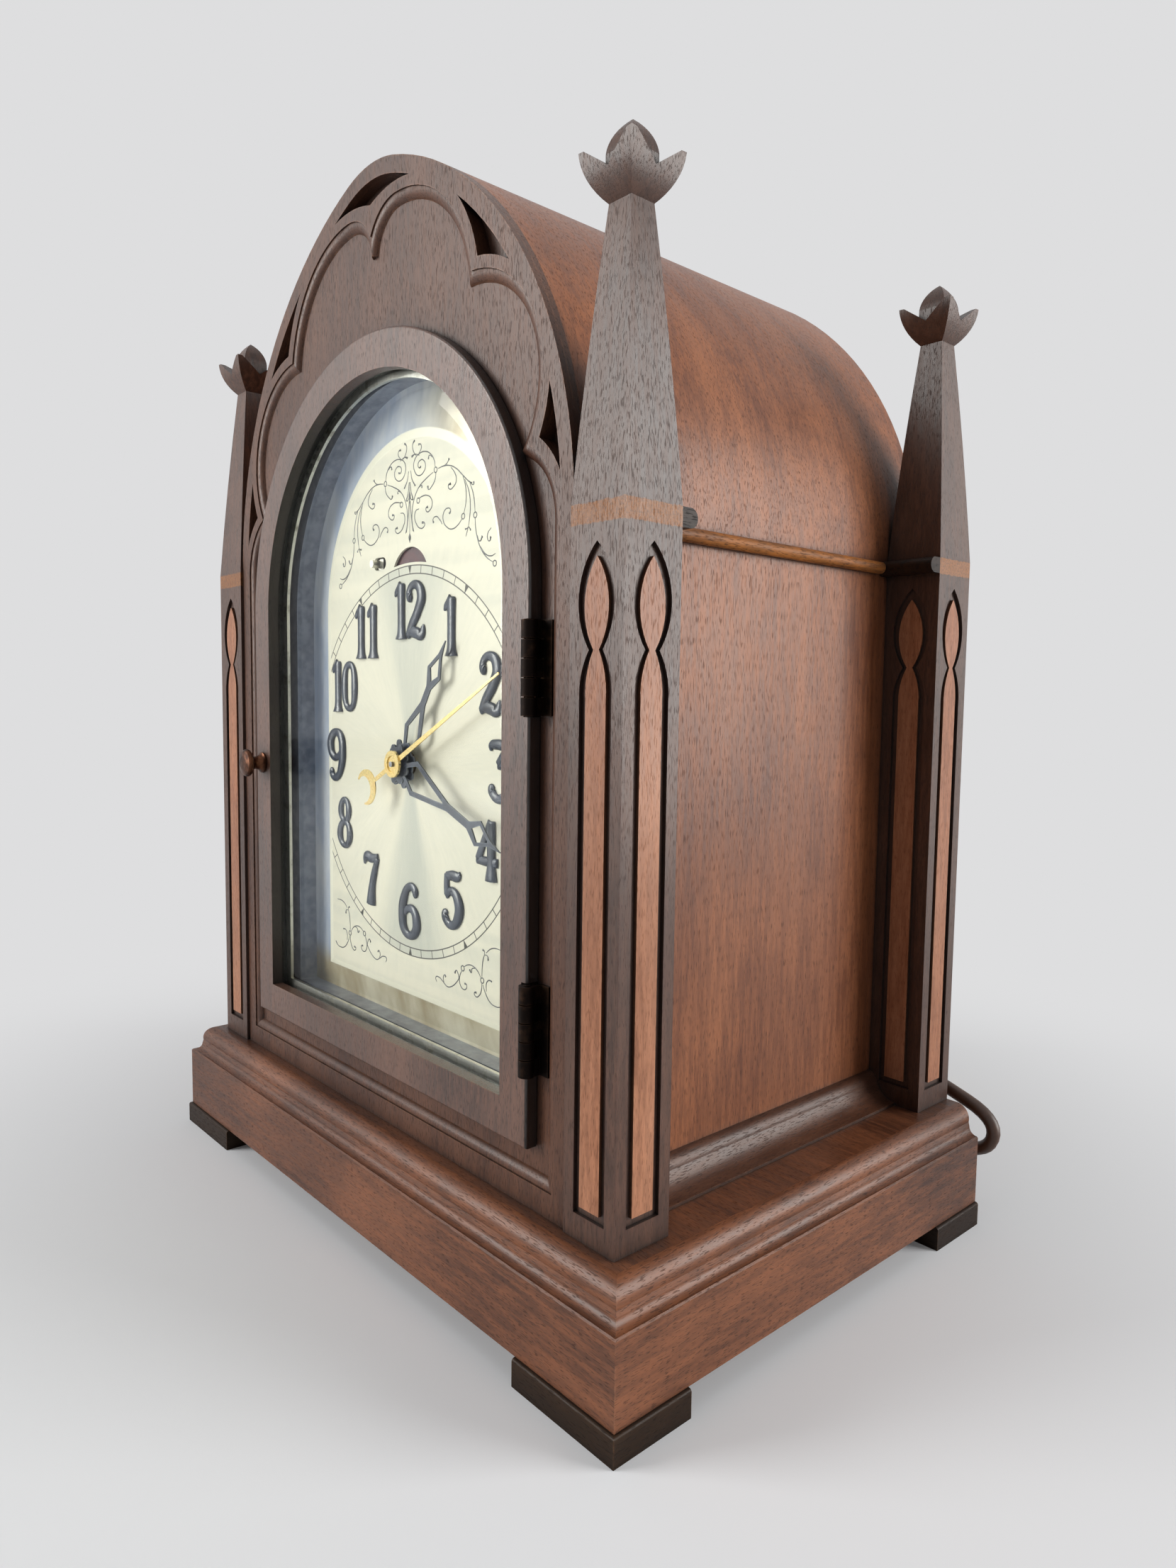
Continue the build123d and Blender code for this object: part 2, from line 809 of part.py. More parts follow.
with BuildPart() as glass_retainer:
    slab(door_shape(glass_half + glass_fit, glass_foot - glass_fit), glass_back, glass_back + retainer_thick)
    slab(
        door_shape(glass_half - retainer_width, glass_foot + retainer_width),
        glass_back, glass_back + retainer_thick, Mode.SUBTRACT,
    )

with BuildPart() as door_knob:
    with BuildSketch(Plane(origin=(-knob_x, door_front, knob_height), x_dir=(1, 0, 0), z_dir=(0, 0, 1))):
        with BuildLine():
            Polyline((0, -knob_reach), (0, 0), (knob_neck_r + 1.2, 0), (knob_neck_r + 1.2, -0.8))
            ThreePointArc(
                (knob_neck_r + 1.2, -0.8),
                (knob_neck_r * 0.86, -knob_reach * 0.42),
                (knob_face_r - 0.2, -knob_reach + 2.6),
            )
            ThreePointArc(
                (knob_face_r - 0.2, -knob_reach + 2.6),
                (knob_face_r, -knob_reach + 1.6),
                (knob_face_r - 0.6, -knob_reach + 0.7),
            )
            Polyline(
                (knob_face_r - 0.6, -knob_reach + 0.7),
                (knob_face_r * 0.5, -knob_reach + 0.15),
                (0, -knob_reach),
            )
        make_face()
    revolve(axis=Axis((-knob_x, door_front, knob_height), (0, 1, 0)))

# Hinges of the front door: five knuckles each, the odd ones on the case
knuckle = (hinge_length - 4 * knuckle_gap) / 5
with BuildPart() as door_hinge_leaves:
    for height in hinge_spots:
        low = height - hinge_length / 2
        block(
            door_half - leaf_thick, door_half,
            axis_y + barrel_r + hinge_clear, door_back, low, low + hinge_length,
        )
        for n in (1, 3):
            start = low + n * (knuckle + knuckle_gap)
            upright(axis_x, axis_y, barrel_r, start, start + knuckle)
            block(
                door_half - leaf_thick, door_half,
                axis_y, axis_y + barrel_r + hinge_clear, start, start + knuckle,
            )
        upright(axis_x, axis_y, pin_r + pin_run, low - 1, low + hinge_length + 1, Mode.SUBTRACT)

# Back door
back_axis_x = -shell_in + back_hinge_in
back_axis_y = back - back_hinge_deep
back_foot = plinth_top + rail_height + back_gap
back_outer = back - back_inset
back_inner = back_outer - back_thick
back_spots = (back_hinge_lower, back_hinge_upper)
with BuildPart() as back_door:
    slab(arch_face(shell_thick + back_gap, back_foot), back_inner, back_outer)
    for height in back_spots:
        block(
            -shell_in, back_axis_x + back_barrel_r + hinge_clear, back_inner - 1, back + 1,
            height - back_hinge_length / 2 - hinge_clear, height + back_hinge_length / 2 + hinge_clear,
            Mode.SUBTRACT,
        )
    with BuildSketch(Plane.XZ.offset(-back_outer - 1)):
        for foot in (slot_lower, slot_upper):
            with Locations(*[(0, foot + n * slot_pitch) for n in range(slot_count)]):
                SlotOverall(slot_length, slot_width)
    extrude(amount=back_thick + 2, mode=Mode.SUBTRACT)

with BuildPart() as back_door_leaves:
    for height in back_spots:
        low = height - back_hinge_length / 2
        start = low + back_hinge_length / 3 + knuckle_gap / 2
        stop = low + back_hinge_length * 2 / 3 - knuckle_gap / 2
        upright(back_axis_x, back_axis_y, back_barrel_r, start, stop)
        block(
            back_axis_x, back_axis_x + leaf_thick, back_inner - leaf_thick, back_axis_y, start, stop,
        )
        block(back_axis_x, back_axis_x + 14, back_inner - leaf_thick, back_inner, start, stop)
        upright(back_axis_x, back_axis_y, pin_r + pin_run, low - 1, low + back_hinge_length + 1, Mode.SUBTRACT)

with BuildPart() as case_hinge_leaves:
    for height in hinge_spots:
        low = height - hinge_length / 2
        for n in (0, 2, 4):
            start = low + n * (knuckle + knuckle_gap)
            upright(axis_x, axis_y, barrel_r, start, start + knuckle)
            block(
                axis_x + leaf_web_out, axis_x + leaf_web_out + leaf_thick,
                axis_y, panel_front, start, start + knuckle,
            )
        block(
            axis_x + leaf_web_out, axis_x + leaf_web_out + leaf_foot,
            panel_front - leaf_thick, panel_front, low, low + hinge_length,
        )
        upright(axis_x, axis_y, pin_r + pin_press, low - 1, low + hinge_length + 1, Mode.SUBTRACT)
    for height in back_spots:
        low = height - back_hinge_length / 2
        third = back_hinge_length / 3
        for start in (low, low + 2 * third + knuckle_gap / 2):
            upright(back_axis_x, back_axis_y, back_barrel_r, start, start + third - knuckle_gap / 2)
            block(
                -shell_in, back_axis_x, back_axis_y - leaf_thick / 2, back_axis_y + leaf_thick / 2,
                start, start + third - knuckle_gap / 2,
            )
        block(
            -shell_in, -shell_in + leaf_thick * 0.6, back_axis_y - 12, back_axis_y + leaf_thick / 2,
            low, low + back_hinge_length,
        )
        upright(back_axis_x, back_axis_y, pin_r + pin_press, low - 1, low + back_hinge_length + 1, Mode.SUBTRACT)

with BuildPart() as hinge_pins:
    for height in hinge_spots:
        upright(axis_x, axis_y, pin_r, height - hinge_length / 2 - 0.2, height + hinge_length / 2 + 0.2)
    for height in back_spots:
        upright(back_axis_x, back_axis_y, pin_r, height - back_hinge_length / 2, height + back_hinge_length / 2)

# The knob of the back door is a thin button, level with the back of the case
back_knob_x = shell_in - 16
back_knob_z = (back_hinge_lower + back_hinge_upper) / 2
with BuildPart() as back_knob:
    shaft(back_knob_x, back_knob_z, back_knob_r, back_outer, back)
    shaft(back_knob_x, back_knob_z, back_knob_r * 0.5, back_inner - 2, back_outer)
with BuildPart() as back_door_drilled:
    add(back_door.part)
    shaft(back_knob_x, back_knob_z, back_knob_r * 0.5 + pin_press, back_inner - 3, back + 1, Mode.SUBTRACT)

# Dial spacer and dial plate
with BuildPart() as dial_spacer:
    slab(door_shape(spacer_half, door_foot), spacer_front, spacer_back)
    slab(
        door_shape(spacer_inner, sight_foot - (spacer_inner - sight_half)),
        spacer_front, spacer_back, Mode.SUBTRACT,
    )

border_foot = sight_foot + dial_edge
flange_foot = border_foot - (dial_flange_half - dial_border_half)
lever_pivot = lever_height - lever_arm
lever_front = dial_front + dial_sheet + 0.4
flag_z = dial_height + window_foot - 5.6
with BuildPart() as dial_plate:
    slab(door_shape(dial_flange_half, flange_foot), spacer_back, spacer_back + dial_sheet)
    with BuildSketch(Plane.XZ.offset(-spacer_back)):
        add(door_shape(dial_border_half, border_foot))
    with BuildSketch(Plane.XZ.offset(-dial_front)):
        add(door_shape(dial_centre_half, dial_centre_foot))
    loft()
    with BuildSketch(Plane.XZ.offset(-spacer_back - dial_sheet)) as hollow_back:
        add(door_shape(dial_border_half - dial_sheet, border_foot + dial_sheet))
    with BuildSketch(Plane.XZ.offset(-dial_front - dial_sheet)) as hollow_front:
        add(door_shape(dial_centre_half - dial_sheet, dial_centre_foot + dial_sheet))
    loft([hollow_back.sketch, hollow_front.sketch], mode=Mode.SUBTRACT)
    shaft(0, dial_height, dial_hole_r, dial_front - 1, dial_front + 5, Mode.SUBTRACT)
    with BuildSketch(Plane.XZ.offset(-dial_front + 1)):
        with BuildLine():
            base_z = dial_height + window_foot
            ThreePointArc((-window_half, base_z), (0, base_z + window_rise), (window_half, base_z))
            ThreePointArc((window_half, base_z), (0, base_z + 0.8), (-window_half, base_z))
        make_face()
        with Locations((-lever_x + lever_travel / 2, lever_height)):
            SlotCenterToCenter(lever_travel, lever_pin_r * 2 + 1.8)
    extrude(amount=-5, mode=Mode.SUBTRACT)
    for x, z in ((-lever_x, lever_pivot), (0, flag_z)):
        shaft(x, z, stud_r, dial_front + dial_sheet / 2, lever_front + 2.0)
        shaft(x, z, stud_r + 1.2, lever_front + 1.5, lever_front + 2.5)


# Numerals: strokes on a grid one unit high, widened by the stroke
def digit_path(digit):
    if digit == "0":
        return [("oval", 0.30, 0.5, 0.22, 0.40)]
    if digit == "1":
        return [("line", (0.30, 0.92), (0.30, 0.08)), ("line", (0.30, 0.90), (0.16, 0.80))]
    if digit == "2":
        return [
            ("arc", (0.12, 0.72), (0.34, 0.90), (0.54, 0.68)),
            ("line", (0.54, 0.68), (0.12, 0.10)),
            ("line", (0.12, 0.10), (0.56, 0.14)),
        ]
    if digit == "3":
        return [
            ("line", (0.10, 0.90), (0.54, 0.90)),
            ("line", (0.54, 0.90), (0.28, 0.58)),
            ("arc", (0.28, 0.58), (0.56, 0.34), (0.10, 0.14)),
        ]
    if digit == "4":
        return [
            ("line", (0.46, 0.92), (0.46, 0.08)),
            ("line", (0.46, 0.92), (0.08, 0.36)),
            ("line", (0.08, 0.36), (0.62, 0.36)),
        ]
    if digit == "5":
        return [
            ("line", (0.54, 0.90), (0.16, 0.90)),
            ("line", (0.16, 0.90), (0.14, 0.56)),
            ("arc", (0.14, 0.56), (0.54, 0.36), (0.10, 0.16)),
        ]
    if digit == "6":
        return [
            ("oval", 0.32, 0.32, 0.20, 0.23),
            ("arc", (0.12, 0.36), (0.20, 0.72), (0.48, 0.88)),
        ]
    if digit == "7":
        return [("line", (0.10, 0.88), (0.56, 0.88)), ("line", (0.56, 0.88), (0.28, 0.08))]
    if digit == "8":
        return [("oval", 0.32, 0.70, 0.17, 0.19), ("oval", 0.32, 0.30, 0.20, 0.21)]
    return [
        ("oval", 0.32, 0.68, 0.20, 0.23),
        ("arc", (0.52, 0.64), (0.44, 0.28), (0.16, 0.12)),
    ]


def digit_face(digit, x, z):
    size = numeral_height * 1.06
    with BuildSketch(Plane.XY) as face:
        for step in digit_path(digit):
            if step[0] == "oval":
                with Locations((x + step[1] * size, z + step[2] * size)):
                    Ellipse(step[3] * size + numeral_stroke / 2, step[4] * size + numeral_stroke / 2)
        for step in digit_path(digit):
            if step[0] == "oval":
                with Locations((x + step[1] * size, z + step[2] * size)):
                    Ellipse(
                        step[3] * size - numeral_stroke / 2,
                        step[4] * size - numeral_stroke / 2,
                        mode=Mode.SUBTRACT,
                    )
        for step in digit_path(digit):
            spots = [(x + p[0] * size, z + p[1] * size) for p in step[1:] if isinstance(p, tuple)]
            if step[0] == "line":
                with BuildLine() as stroke:
                    Line(*spots)
                trace(stroke.line, line_width=numeral_stroke)
            if step[0] == "arc":
                with BuildLine() as stroke:
                    ThreePointArc(*spots)
                trace(stroke.line, line_width=numeral_stroke)
    return face.sketch


with BuildPart() as dial_numerals:
    for hour in range(1, 13):
        turn = math.radians(hour * 30)
        text = str(hour)
        pitch = numeral_height * 0.44
        width = pitch * (len(text) - 1) + numeral_height * 0.64
        left = numeral_radius * math.sin(turn) - width / 2
        low = dial_height + numeral_radius * math.cos(turn) - numeral_height / 2
        for place, digit in enumerate(text):
            slab(digit_face(digit, left + place * pitch, low), dial_front - numeral_rise, dial_front)

# Chime lever: a pin through the dial on an arm that turns on a stud behind it
with BuildPart() as chime_lever:
    shaft(-lever_x, lever_height, lever_pin_r, dial_front - 2.4, lever_front)
    block(
        -lever_x - 2.5, -lever_x + 2.5, lever_front, lever_front + 1.0,
        lever_pivot - 3, lever_height + 2,
    )
    shaft(-lever_x, lever_pivot, stud_r + run_fit, lever_front - 1, lever_front + 2, Mode.SUBTRACT)

# Power flag behind the window, on a stud of its own
with BuildPart() as power_flag:
    with BuildSketch(Plane.XZ.offset(-lever_front)):
        with Locations((0, flag_z)):
            Circle(flag_r)
        with Locations((0, flag_z - flag_r - 2.6)):
            Rectangle(flag_r * 2 + 2, flag_r * 2, mode=Mode.SUBTRACT)
        with Locations((0, flag_z)):
            Circle(stud_r + run_fit, mode=Mode.SUBTRACT)
    extrude(amount=-flag_thick)


# Hands: two open loops on a stem, drawn pointing up
def hand_shape(length, near, waist, far, tip_half, hub_r, bore):
    with BuildSketch(Plane.XY) as shape:
        Polygon(
            (-2.4, hub_r - 1), (-near, hub_r + 6), (-1.4, waist), (-1.3, far - 6), (-tip_half, far),
            (-1.0, far + 7), (0, length), (1.0, far + 7), (tip_half, far), (1.3, far - 6),
            (1.4, waist), (near, hub_r + 6), (2.4, hub_r - 1),
            align=None,
        )
        Polygon(
            (-1.3, hub_r), (-near + hand_rail * 1.2, hub_r + 6.4), (-0.2, waist - 3), (0.2, waist - 3),
            (near - hand_rail * 1.2, hub_r + 6.4), (1.3, hub_r),
            align=None, mode=Mode.SUBTRACT,
        )
        Polygon(
            (0, far - 3.6), (-tip_half + hand_rail, far + 0.3), (0, far + 6.4),
            (tip_half - hand_rail, far + 0.3),
            align=None, mode=Mode.SUBTRACT,
        )
        Circle(hub_r)
        with PolarLocations(hub_r, 8):
            Circle(1.5)
        Circle(bore, mode=Mode.SUBTRACT)
    return shape.sketch


def hand_plane(y, angle):
    tilt = math.radians(angle)
    return Plane(
        origin=(0, y, dial_height),
        x_dir=(math.cos(tilt), 0, -math.sin(tilt)),
        z_dir=(0, -1, 0),
    )


hour_hand_y = dial_front - hour_hand_out
minute_hand_y = hour_hand_y - hand_pitch
seconds_hand_y = minute_hand_y - hand_pitch
with BuildPart() as hour_hand:
    with BuildSketch(hand_plane(hour_hand_y, hour_angle)):
        add(hand_shape(hour_length, 5.6, hour_length * 0.5, hour_length * 0.75, 4.3, boss_r, hour_pipe_r))
    extrude(amount=hand_thick)

with BuildPart() as minute_hand:
    with BuildSketch(hand_plane(minute_hand_y, minute_angle)):
        add(
            hand_shape(
                minute_length, 6.6, minute_length * 0.52, minute_length * 0.8, 4.6, boss_r * 0.8, minute_tube_r,
            )
        )
    extrude(amount=hand_thick)

with BuildPart() as seconds_hand:
    with BuildSketch(hand_plane(seconds_hand_y, seconds_angle)):
        Polygon(
            (-1.0, 0), (-0.9, 12), (-0.3, seconds_length), (0.3, seconds_length), (0.9, 12), (1.0, 0),
            align=None,
        )
        Polygon((-0.9, 0), (0.9, 0), (0.7, -seconds_tail + 6), (-0.7, -seconds_tail + 6), align=None)
        with Locations((0, -seconds_tail)):
            Circle(6.6)
        with Locations((0, -seconds_tail - 2.2)):
            Circle(5.0, mode=Mode.SUBTRACT)
        with Locations((0, -seconds_tail - 9.0)):
            Rectangle(20, 10, mode=Mode.SUBTRACT)
    extrude(amount=hand_thick * 0.7)
    with BuildSketch(hand_plane(seconds_hand_y, seconds_angle)):
        Circle(seconds_hub_r)
    extrude(amount=hand_thick)
    with BuildSketch(hand_plane(seconds_hand_y - hand_thick, seconds_angle)):
        Circle(seconds_hub_r)
        Circle(seconds_hub_r * 0.62, mode=Mode.SUBTRACT)
    extrude(amount=0.4)
    shaft(0, dial_height, seconds_arbor_r, seconds_hand_y - 2, seconds_hand_y + 1, Mode.SUBTRACT)

# Movement frame
frame_foot = seat_height + seat_thick
stud_x = motion_module * (cannon_teeth + minute_teeth) / 2
hour_module = 2 * stud_x / (hour_teeth + minute_pinion_teeth)
third_x = -third_module * (third_teeth + seconds_pinion_teeth) / 2
centre_module = -2 * third_x / (centre_teeth + third_pinion_teeth)
set_reach = motion_module * (cannon_teeth + minute_teeth) / 2
set_x = stud_x + set_reach * math.cos(math.radians(set_turn))
set_z = dial_height + set_reach * math.sin(math.radians(set_turn))
pillar_spots = [
    (sign * (frame_half - pillar_in), height)
    for sign in (-1, 1)
    for height in (frame_foot + pillar_in, frame_top - pillar_in)
]
with BuildPart() as movement_front_plate:
    block(-frame_half, frame_half, plate_front, plate_front + frame_plate, frame_foot, frame_top)
    shaft(0, dial_height, minute_tube_r + run_fit, plate_front - 1, plate_front + 3, Mode.SUBTRACT)
    shaft(third_x, dial_height, seconds_arbor_r + run_fit, plate_front - 1, plate_front + 3, Mode.SUBTRACT)
    shaft(set_x, set_z, set_arbor_r + run_fit, plate_front - 1, plate_front + 3, Mode.SUBTRACT)
    shaft(stud_x, dial_height, stud_r, plate_front - 8.4, plate_front + 1)

with BuildPart() as movement_back_plate:
    block(-frame_half, frame_half, rear_plate, rear_plate + frame_plate, frame_foot, frame_top)
    shaft(0, dial_height, seconds_arbor_r + run_fit, rear_plate - 1, rear_plate + 3, Mode.SUBTRACT)
    shaft(third_x, dial_height, seconds_arbor_r + run_fit, rear_plate - 1, rear_plate + 3, Mode.SUBTRACT)
    shaft(set_x, set_z, set_arbor_r + run_fit, rear_plate - 1, rear_plate + 3, Mode.SUBTRACT)

with BuildPart() as machine_screws:
    dial_spots = [(sign * dial_screw_x, height) for sign in (-1, 1) for height in (dial_screw_lower, dial_screw_upper)]
    for x, z in dial_spots:
        shaft(x, z, screw_r, spacer_back + dial_sheet, spacer_back + dial_sheet + 1.4)
    for x, z in pillar_spots:
        shaft(x, z, screw_r * 1.5, rear_plate + frame_plate, rear_plate + frame_plate + 1.6)
        shaft(x, z, screw_r * 1.5, plate_front - 1.6, plate_front)

# Motion work in front of the front plate
cannon_front = plate_front - 4.4
hour_wheel_front = plate_front - 7.2
with BuildPart() as minute_arbor:
    shaft(0, dial_height, minute_tube_r, minute_hand_y - hand_thick - 0.6, plate_front + 28)
    with BuildSketch(Plane.XZ.offset(-cannon_front).shift_origin((0, cannon_front, dial_height))):
        add(gear_shape(cannon_teeth, motion_module, 0))
    extrude(amount=-3.2)
    centre_front = plate_front + 6
    with BuildSketch(Plane.XZ.offset(-centre_front).shift_origin((0, centre_front, dial_height))):
        add(gear_shape(centre_teeth, centre_module, 180))
    extrude(amount=-wheel_thick)
    shaft(0, dial_height, seconds_arbor_r + run_fit, minute_hand_y - 4, plate_front + 40, Mode.SUBTRACT)

with BuildPart() as hour_wheel:
    shaft(0, dial_height, hour_pipe_r, hour_hand_y - hand_thick, hour_wheel_front + wheel_thick)
    with BuildSketch(Plane.XZ.offset(-hour_wheel_front).shift_origin((0, hour_wheel_front, dial_height))):
        add(gear_shape(hour_teeth, hour_module, 0))
    extrude(amount=-wheel_thick)
    shaft(
        0, dial_height, minute_tube_r + run_fit,
        hour_hand_y - 3, hour_wheel_front + wheel_thick + 1, Mode.SUBTRACT,
    )

with BuildPart() as minute_wheel:
    wheel_front = cannon_front + 0.9
    with BuildSketch(Plane.XZ.offset(-wheel_front).shift_origin((stud_x, wheel_front, dial_height))):
        add(gear_shape(minute_teeth, motion_module, 180 + 180 / minute_teeth))
    extrude(amount=-wheel_thick)
    pinion_front = hour_wheel_front - 0.4
    with BuildSketch(Plane.XZ.offset(-pinion_front).shift_origin((stud_x, pinion_front, dial_height))):
        add(gear_shape(minute_pinion_teeth, hour_module, 180 + 180 / minute_pinion_teeth))
    extrude(amount=pinion_front - wheel_front)
    shaft(stud_x, dial_height, stud_r + run_fit, plate_front - 12, plate_front + 1, Mode.SUBTRACT)

# Set arbor, in mesh with the minute wheel, with its knob behind the movement
set_end = rear_plate + 34
with BuildPart() as set_arbor:
    shaft(set_x, set_z, set_arbor_r, plate_front - 4.2, set_end)
    wheel_front = cannon_front + 0.9
    steps = (set_turn - 180 - 180 / minute_teeth) * minute_teeth / 360
    tooth_turn = set_turn + 180 + (0.5 + steps - round(steps)) * 360 / cannon_teeth
    with BuildSketch(Plane.XZ.offset(-wheel_front).shift_origin((set_x, wheel_front, set_z))):
        add(gear_shape(cannon_teeth, motion_module, tooth_turn))
    extrude(amount=-wheel_thick)
    shaft(set_x, set_z, set_knob_r * 0.6, set_end - 11, set_end - 8)
    shaft(set_x, set_z, set_knob_r, set_end - 8, set_end)
    for n in range(18):
        turn = n * math.pi / 9
        shaft(
            set_x + set_knob_r * math.cos(turn), set_z + set_knob_r * math.sin(turn),
            0.7, set_end - 9, set_end + 1, Mode.SUBTRACT,
        )

# Going train between the plates
third_front = rear_plate - 10
with BuildPart() as intermediate_wheel:
    shaft(third_x, dial_height, seconds_arbor_r, plate_front, rear_plate + frame_plate)
    with BuildSketch(Plane.XZ.offset(-third_front).shift_origin((third_x, third_front, dial_height))):
        add(gear_shape(third_teeth, third_module, 180 / third_teeth))
    extrude(amount=-wheel_thick)
    leaf_front = centre_front - 1
    with BuildSketch(Plane.XZ.offset(-leaf_front).shift_origin((third_x, leaf_front, dial_height))):
        add(gear_shape(third_pinion_teeth, centre_module, 180 / third_pinion_teeth))
    extrude(amount=-wheel_thick - 2)

with BuildPart() as seconds_arbor:
    shaft(0, dial_height, seconds_arbor_r, seconds_hand_y - hand_thick - 0.8, rear_plate + frame_plate)
    leaf_front = third_front - 2
    with BuildSketch(Plane.XZ.offset(-leaf_front).shift_origin((0, leaf_front, dial_height))):
        add(gear_shape(seconds_pinion_teeth, third_module, 180))
    extrude(amount=-wheel_thick - 4)

# Motor behind the back plate
core_front = rear_plate + frame_plate + core_stand
bar_low = motor_height + core_top - core_bar
with BuildPart() as field_core:
    block(
        motor_x - core_half, motor_x + core_half, core_front, core_front + core_stack,
        motor_height - core_foot, motor_height + core_top,
    )
    shaft(motor_x, motor_height, rotor_r + 0.3, core_front - 1, core_front + core_stack + 1, Mode.SUBTRACT)
    block(
        motor_x - core_half + 8, motor_x + core_half - 8, core_front - 1, core_front + core_stack + 1,
        motor_height + rotor_r + 6, bar_low, Mode.SUBTRACT,
    )

with BuildPart() as field_coil:
    block(
        motor_x - coil_half, motor_x + coil_half, core_front - coil_wall, core_front + core_stack + coil_wall,
        bar_low - coil_wall, bar_low + core_bar + coil_wall,
    )
    block(
        motor_x - coil_half - 1, motor_x + coil_half + 1, core_front, core_front + core_stack,
        bar_low, bar_low + core_bar, Mode.SUBTRACT,
    )

with BuildPart() as rotor_can:
    shaft(motor_x, motor_height, rotor_r, rear_plate + frame_plate, rear_plate + frame_plate + rotor_length)
    shaft(
        motor_x, motor_height, rotor_r * 0.55,
        rear_plate + frame_plate + rotor_length, rear_plate + frame_plate + rotor_length + 4,
    )

with BuildPart() as frame_pillars:
    for x, z in pillar_spots:
        shaft(x, z, pillar_r, plate_front + frame_plate, rear_plate)
    for sign in (-1, 1):
        for height in (motor_height - core_foot + 14, motor_height + rotor_r + 3):
            shaft(motor_x + sign * (core_half - 4), height, 2.5, rear_plate + frame_plate, core_front)

# Seat board on cleats
seat_y = spacer_back + seat_step
with BuildPart() as seat_board:
    block(
        -shell_in + shell_fit, shell_in - shell_fit, seat_y, seat_y + seat_depth,
        seat_height, seat_height + seat_thick,
    )

with BuildPart() as seat_cleats:
    for sign in (-1, 1):
        near, far = sorted((sign * shell_in, sign * (shell_in - cleat_size)))
        block(near, far, seat_y, seat_y + seat_depth, seat_height - cleat_size, seat_height)

# Chime: rods in a block, hammers above them, and the pinned drum that would lift the hammers
chime_y = plate_front + chime_in
hammer_rows = [chime_y + cheek_thick + 5 + n * hammer_pitch for n in range(hammer_count)]
cheek_back = hammer_rows[-1] + 5
drum_x = hammer_x - 8 - tail_gap - drum_r - drum_pin_rise
rest_top = hammer_height - 1.5 - hammer_rest_gap
head_low = hammer_height - 12
rod_height = head_low - rod_gap - rod_r
with BuildPart() as hammer_frame:
    for start in (chime_y, cheek_back):
        block(
            drum_x - 8, hammer_x + 24, start, start + cheek_thick,
            hammer_height - 8, seat_height,
        )
        shaft(drum_x, hammer_height, stud_r + run_fit, start - 1, start + cheek_thick + 1, Mode.SUBTRACT)
    block(
        hammer_x + 10, hammer_x + 15, chime_y + cheek_thick, cheek_back,
        rest_top - 3, rest_top,
    )
    shaft(hammer_x, hammer_height, stud_r, chime_y - 1, cheek_back + cheek_thick + 1)

for number, row in enumerate(hammer_rows):
    with BuildPart() as hammer:
        shaft(hammer_x, hammer_height, 3.2, row - 2.5, row + 2.5)
        block(
            hammer_x + 1, hammer_x + hammer_reach, row - 1.2, row + 1.2,
            hammer_height - 1.5, hammer_height + 1.5,
        )
        block(hammer_x - 8, hammer_x - 1, row - 1.2, row + 1.2, hammer_height - 1, hammer_height + 1)
        upright(hammer_x + hammer_reach, row, hammer_head_r, head_low, hammer_height + 3)
        shaft(hammer_x, hammer_height, stud_r + run_fit, row - 4, row + 4, Mode.SUBTRACT)
    hammer.part.label = f"hammer_{number + 1}"
    export_step(hammer.part, f"parts/hammer_{number + 1}.step")

with BuildPart() as chime_drum:
    shaft(drum_x, hammer_height, stud_r, chime_y - 1, cheek_back + cheek_thick + 1)
    shaft(drum_x, hammer_height, drum_r, chime_y + cheek_thick + 0.5, cheek_back - 0.5)
    for number, row in enumerate(hammer_rows):
        for n in range(4):
            turn = math.radians(number * 17 + n * 90 + 8)
            spoke = Location(
                (
                    drum_x + (drum_r + drum_pin_rise / 2 - 0.5) * math.cos(turn),
                    row,
                    hammer_height + (drum_r + drum_pin_rise / 2 - 0.5) * math.sin(turn),
                ),
                (0, 90 - math.degrees(turn), 0),
            )
            with Locations(spoke):
                Cylinder(0.6, drum_pin_rise + 1 - 0.1)

with BuildPart() as rod_block:
    block(
        block_x, block_x + block_width, hammer_rows[0] - 6, hammer_rows[-1] + 6,
        plinth_top, rod_height + 8,
    )
    for row in hammer_rows:
        with Locations(Location((block_x + block_width, row, rod_height), (0, 90, 0))):
            Cylinder(rod_r, 16, mode=Mode.SUBTRACT)

with BuildPart() as chime_rods:
    for number, row in enumerate(hammer_rows):
        length = rod_longest - number * rod_step
        with Locations(Location((block_x + block_width - 8 + length / 2, row, rod_height), (0, 90, 0))):
            Cylinder(rod_r, length)

# Mains cord
exit_y = back - back_inset
with BuildPart() as cord_bushing:
    shaft(cord_exit_x, cord_exit_z, bushing_r, exit_y - rail_thick, exit_y)
    shaft(cord_exit_x, cord_exit_z, bushing_r + 1.6, exit_y, exit_y + 1.6)
    shaft(cord_exit_x, cord_exit_z, cord_d / 2, exit_y - rail_thick - 1, exit_y + 3, Mode.SUBTRACT)

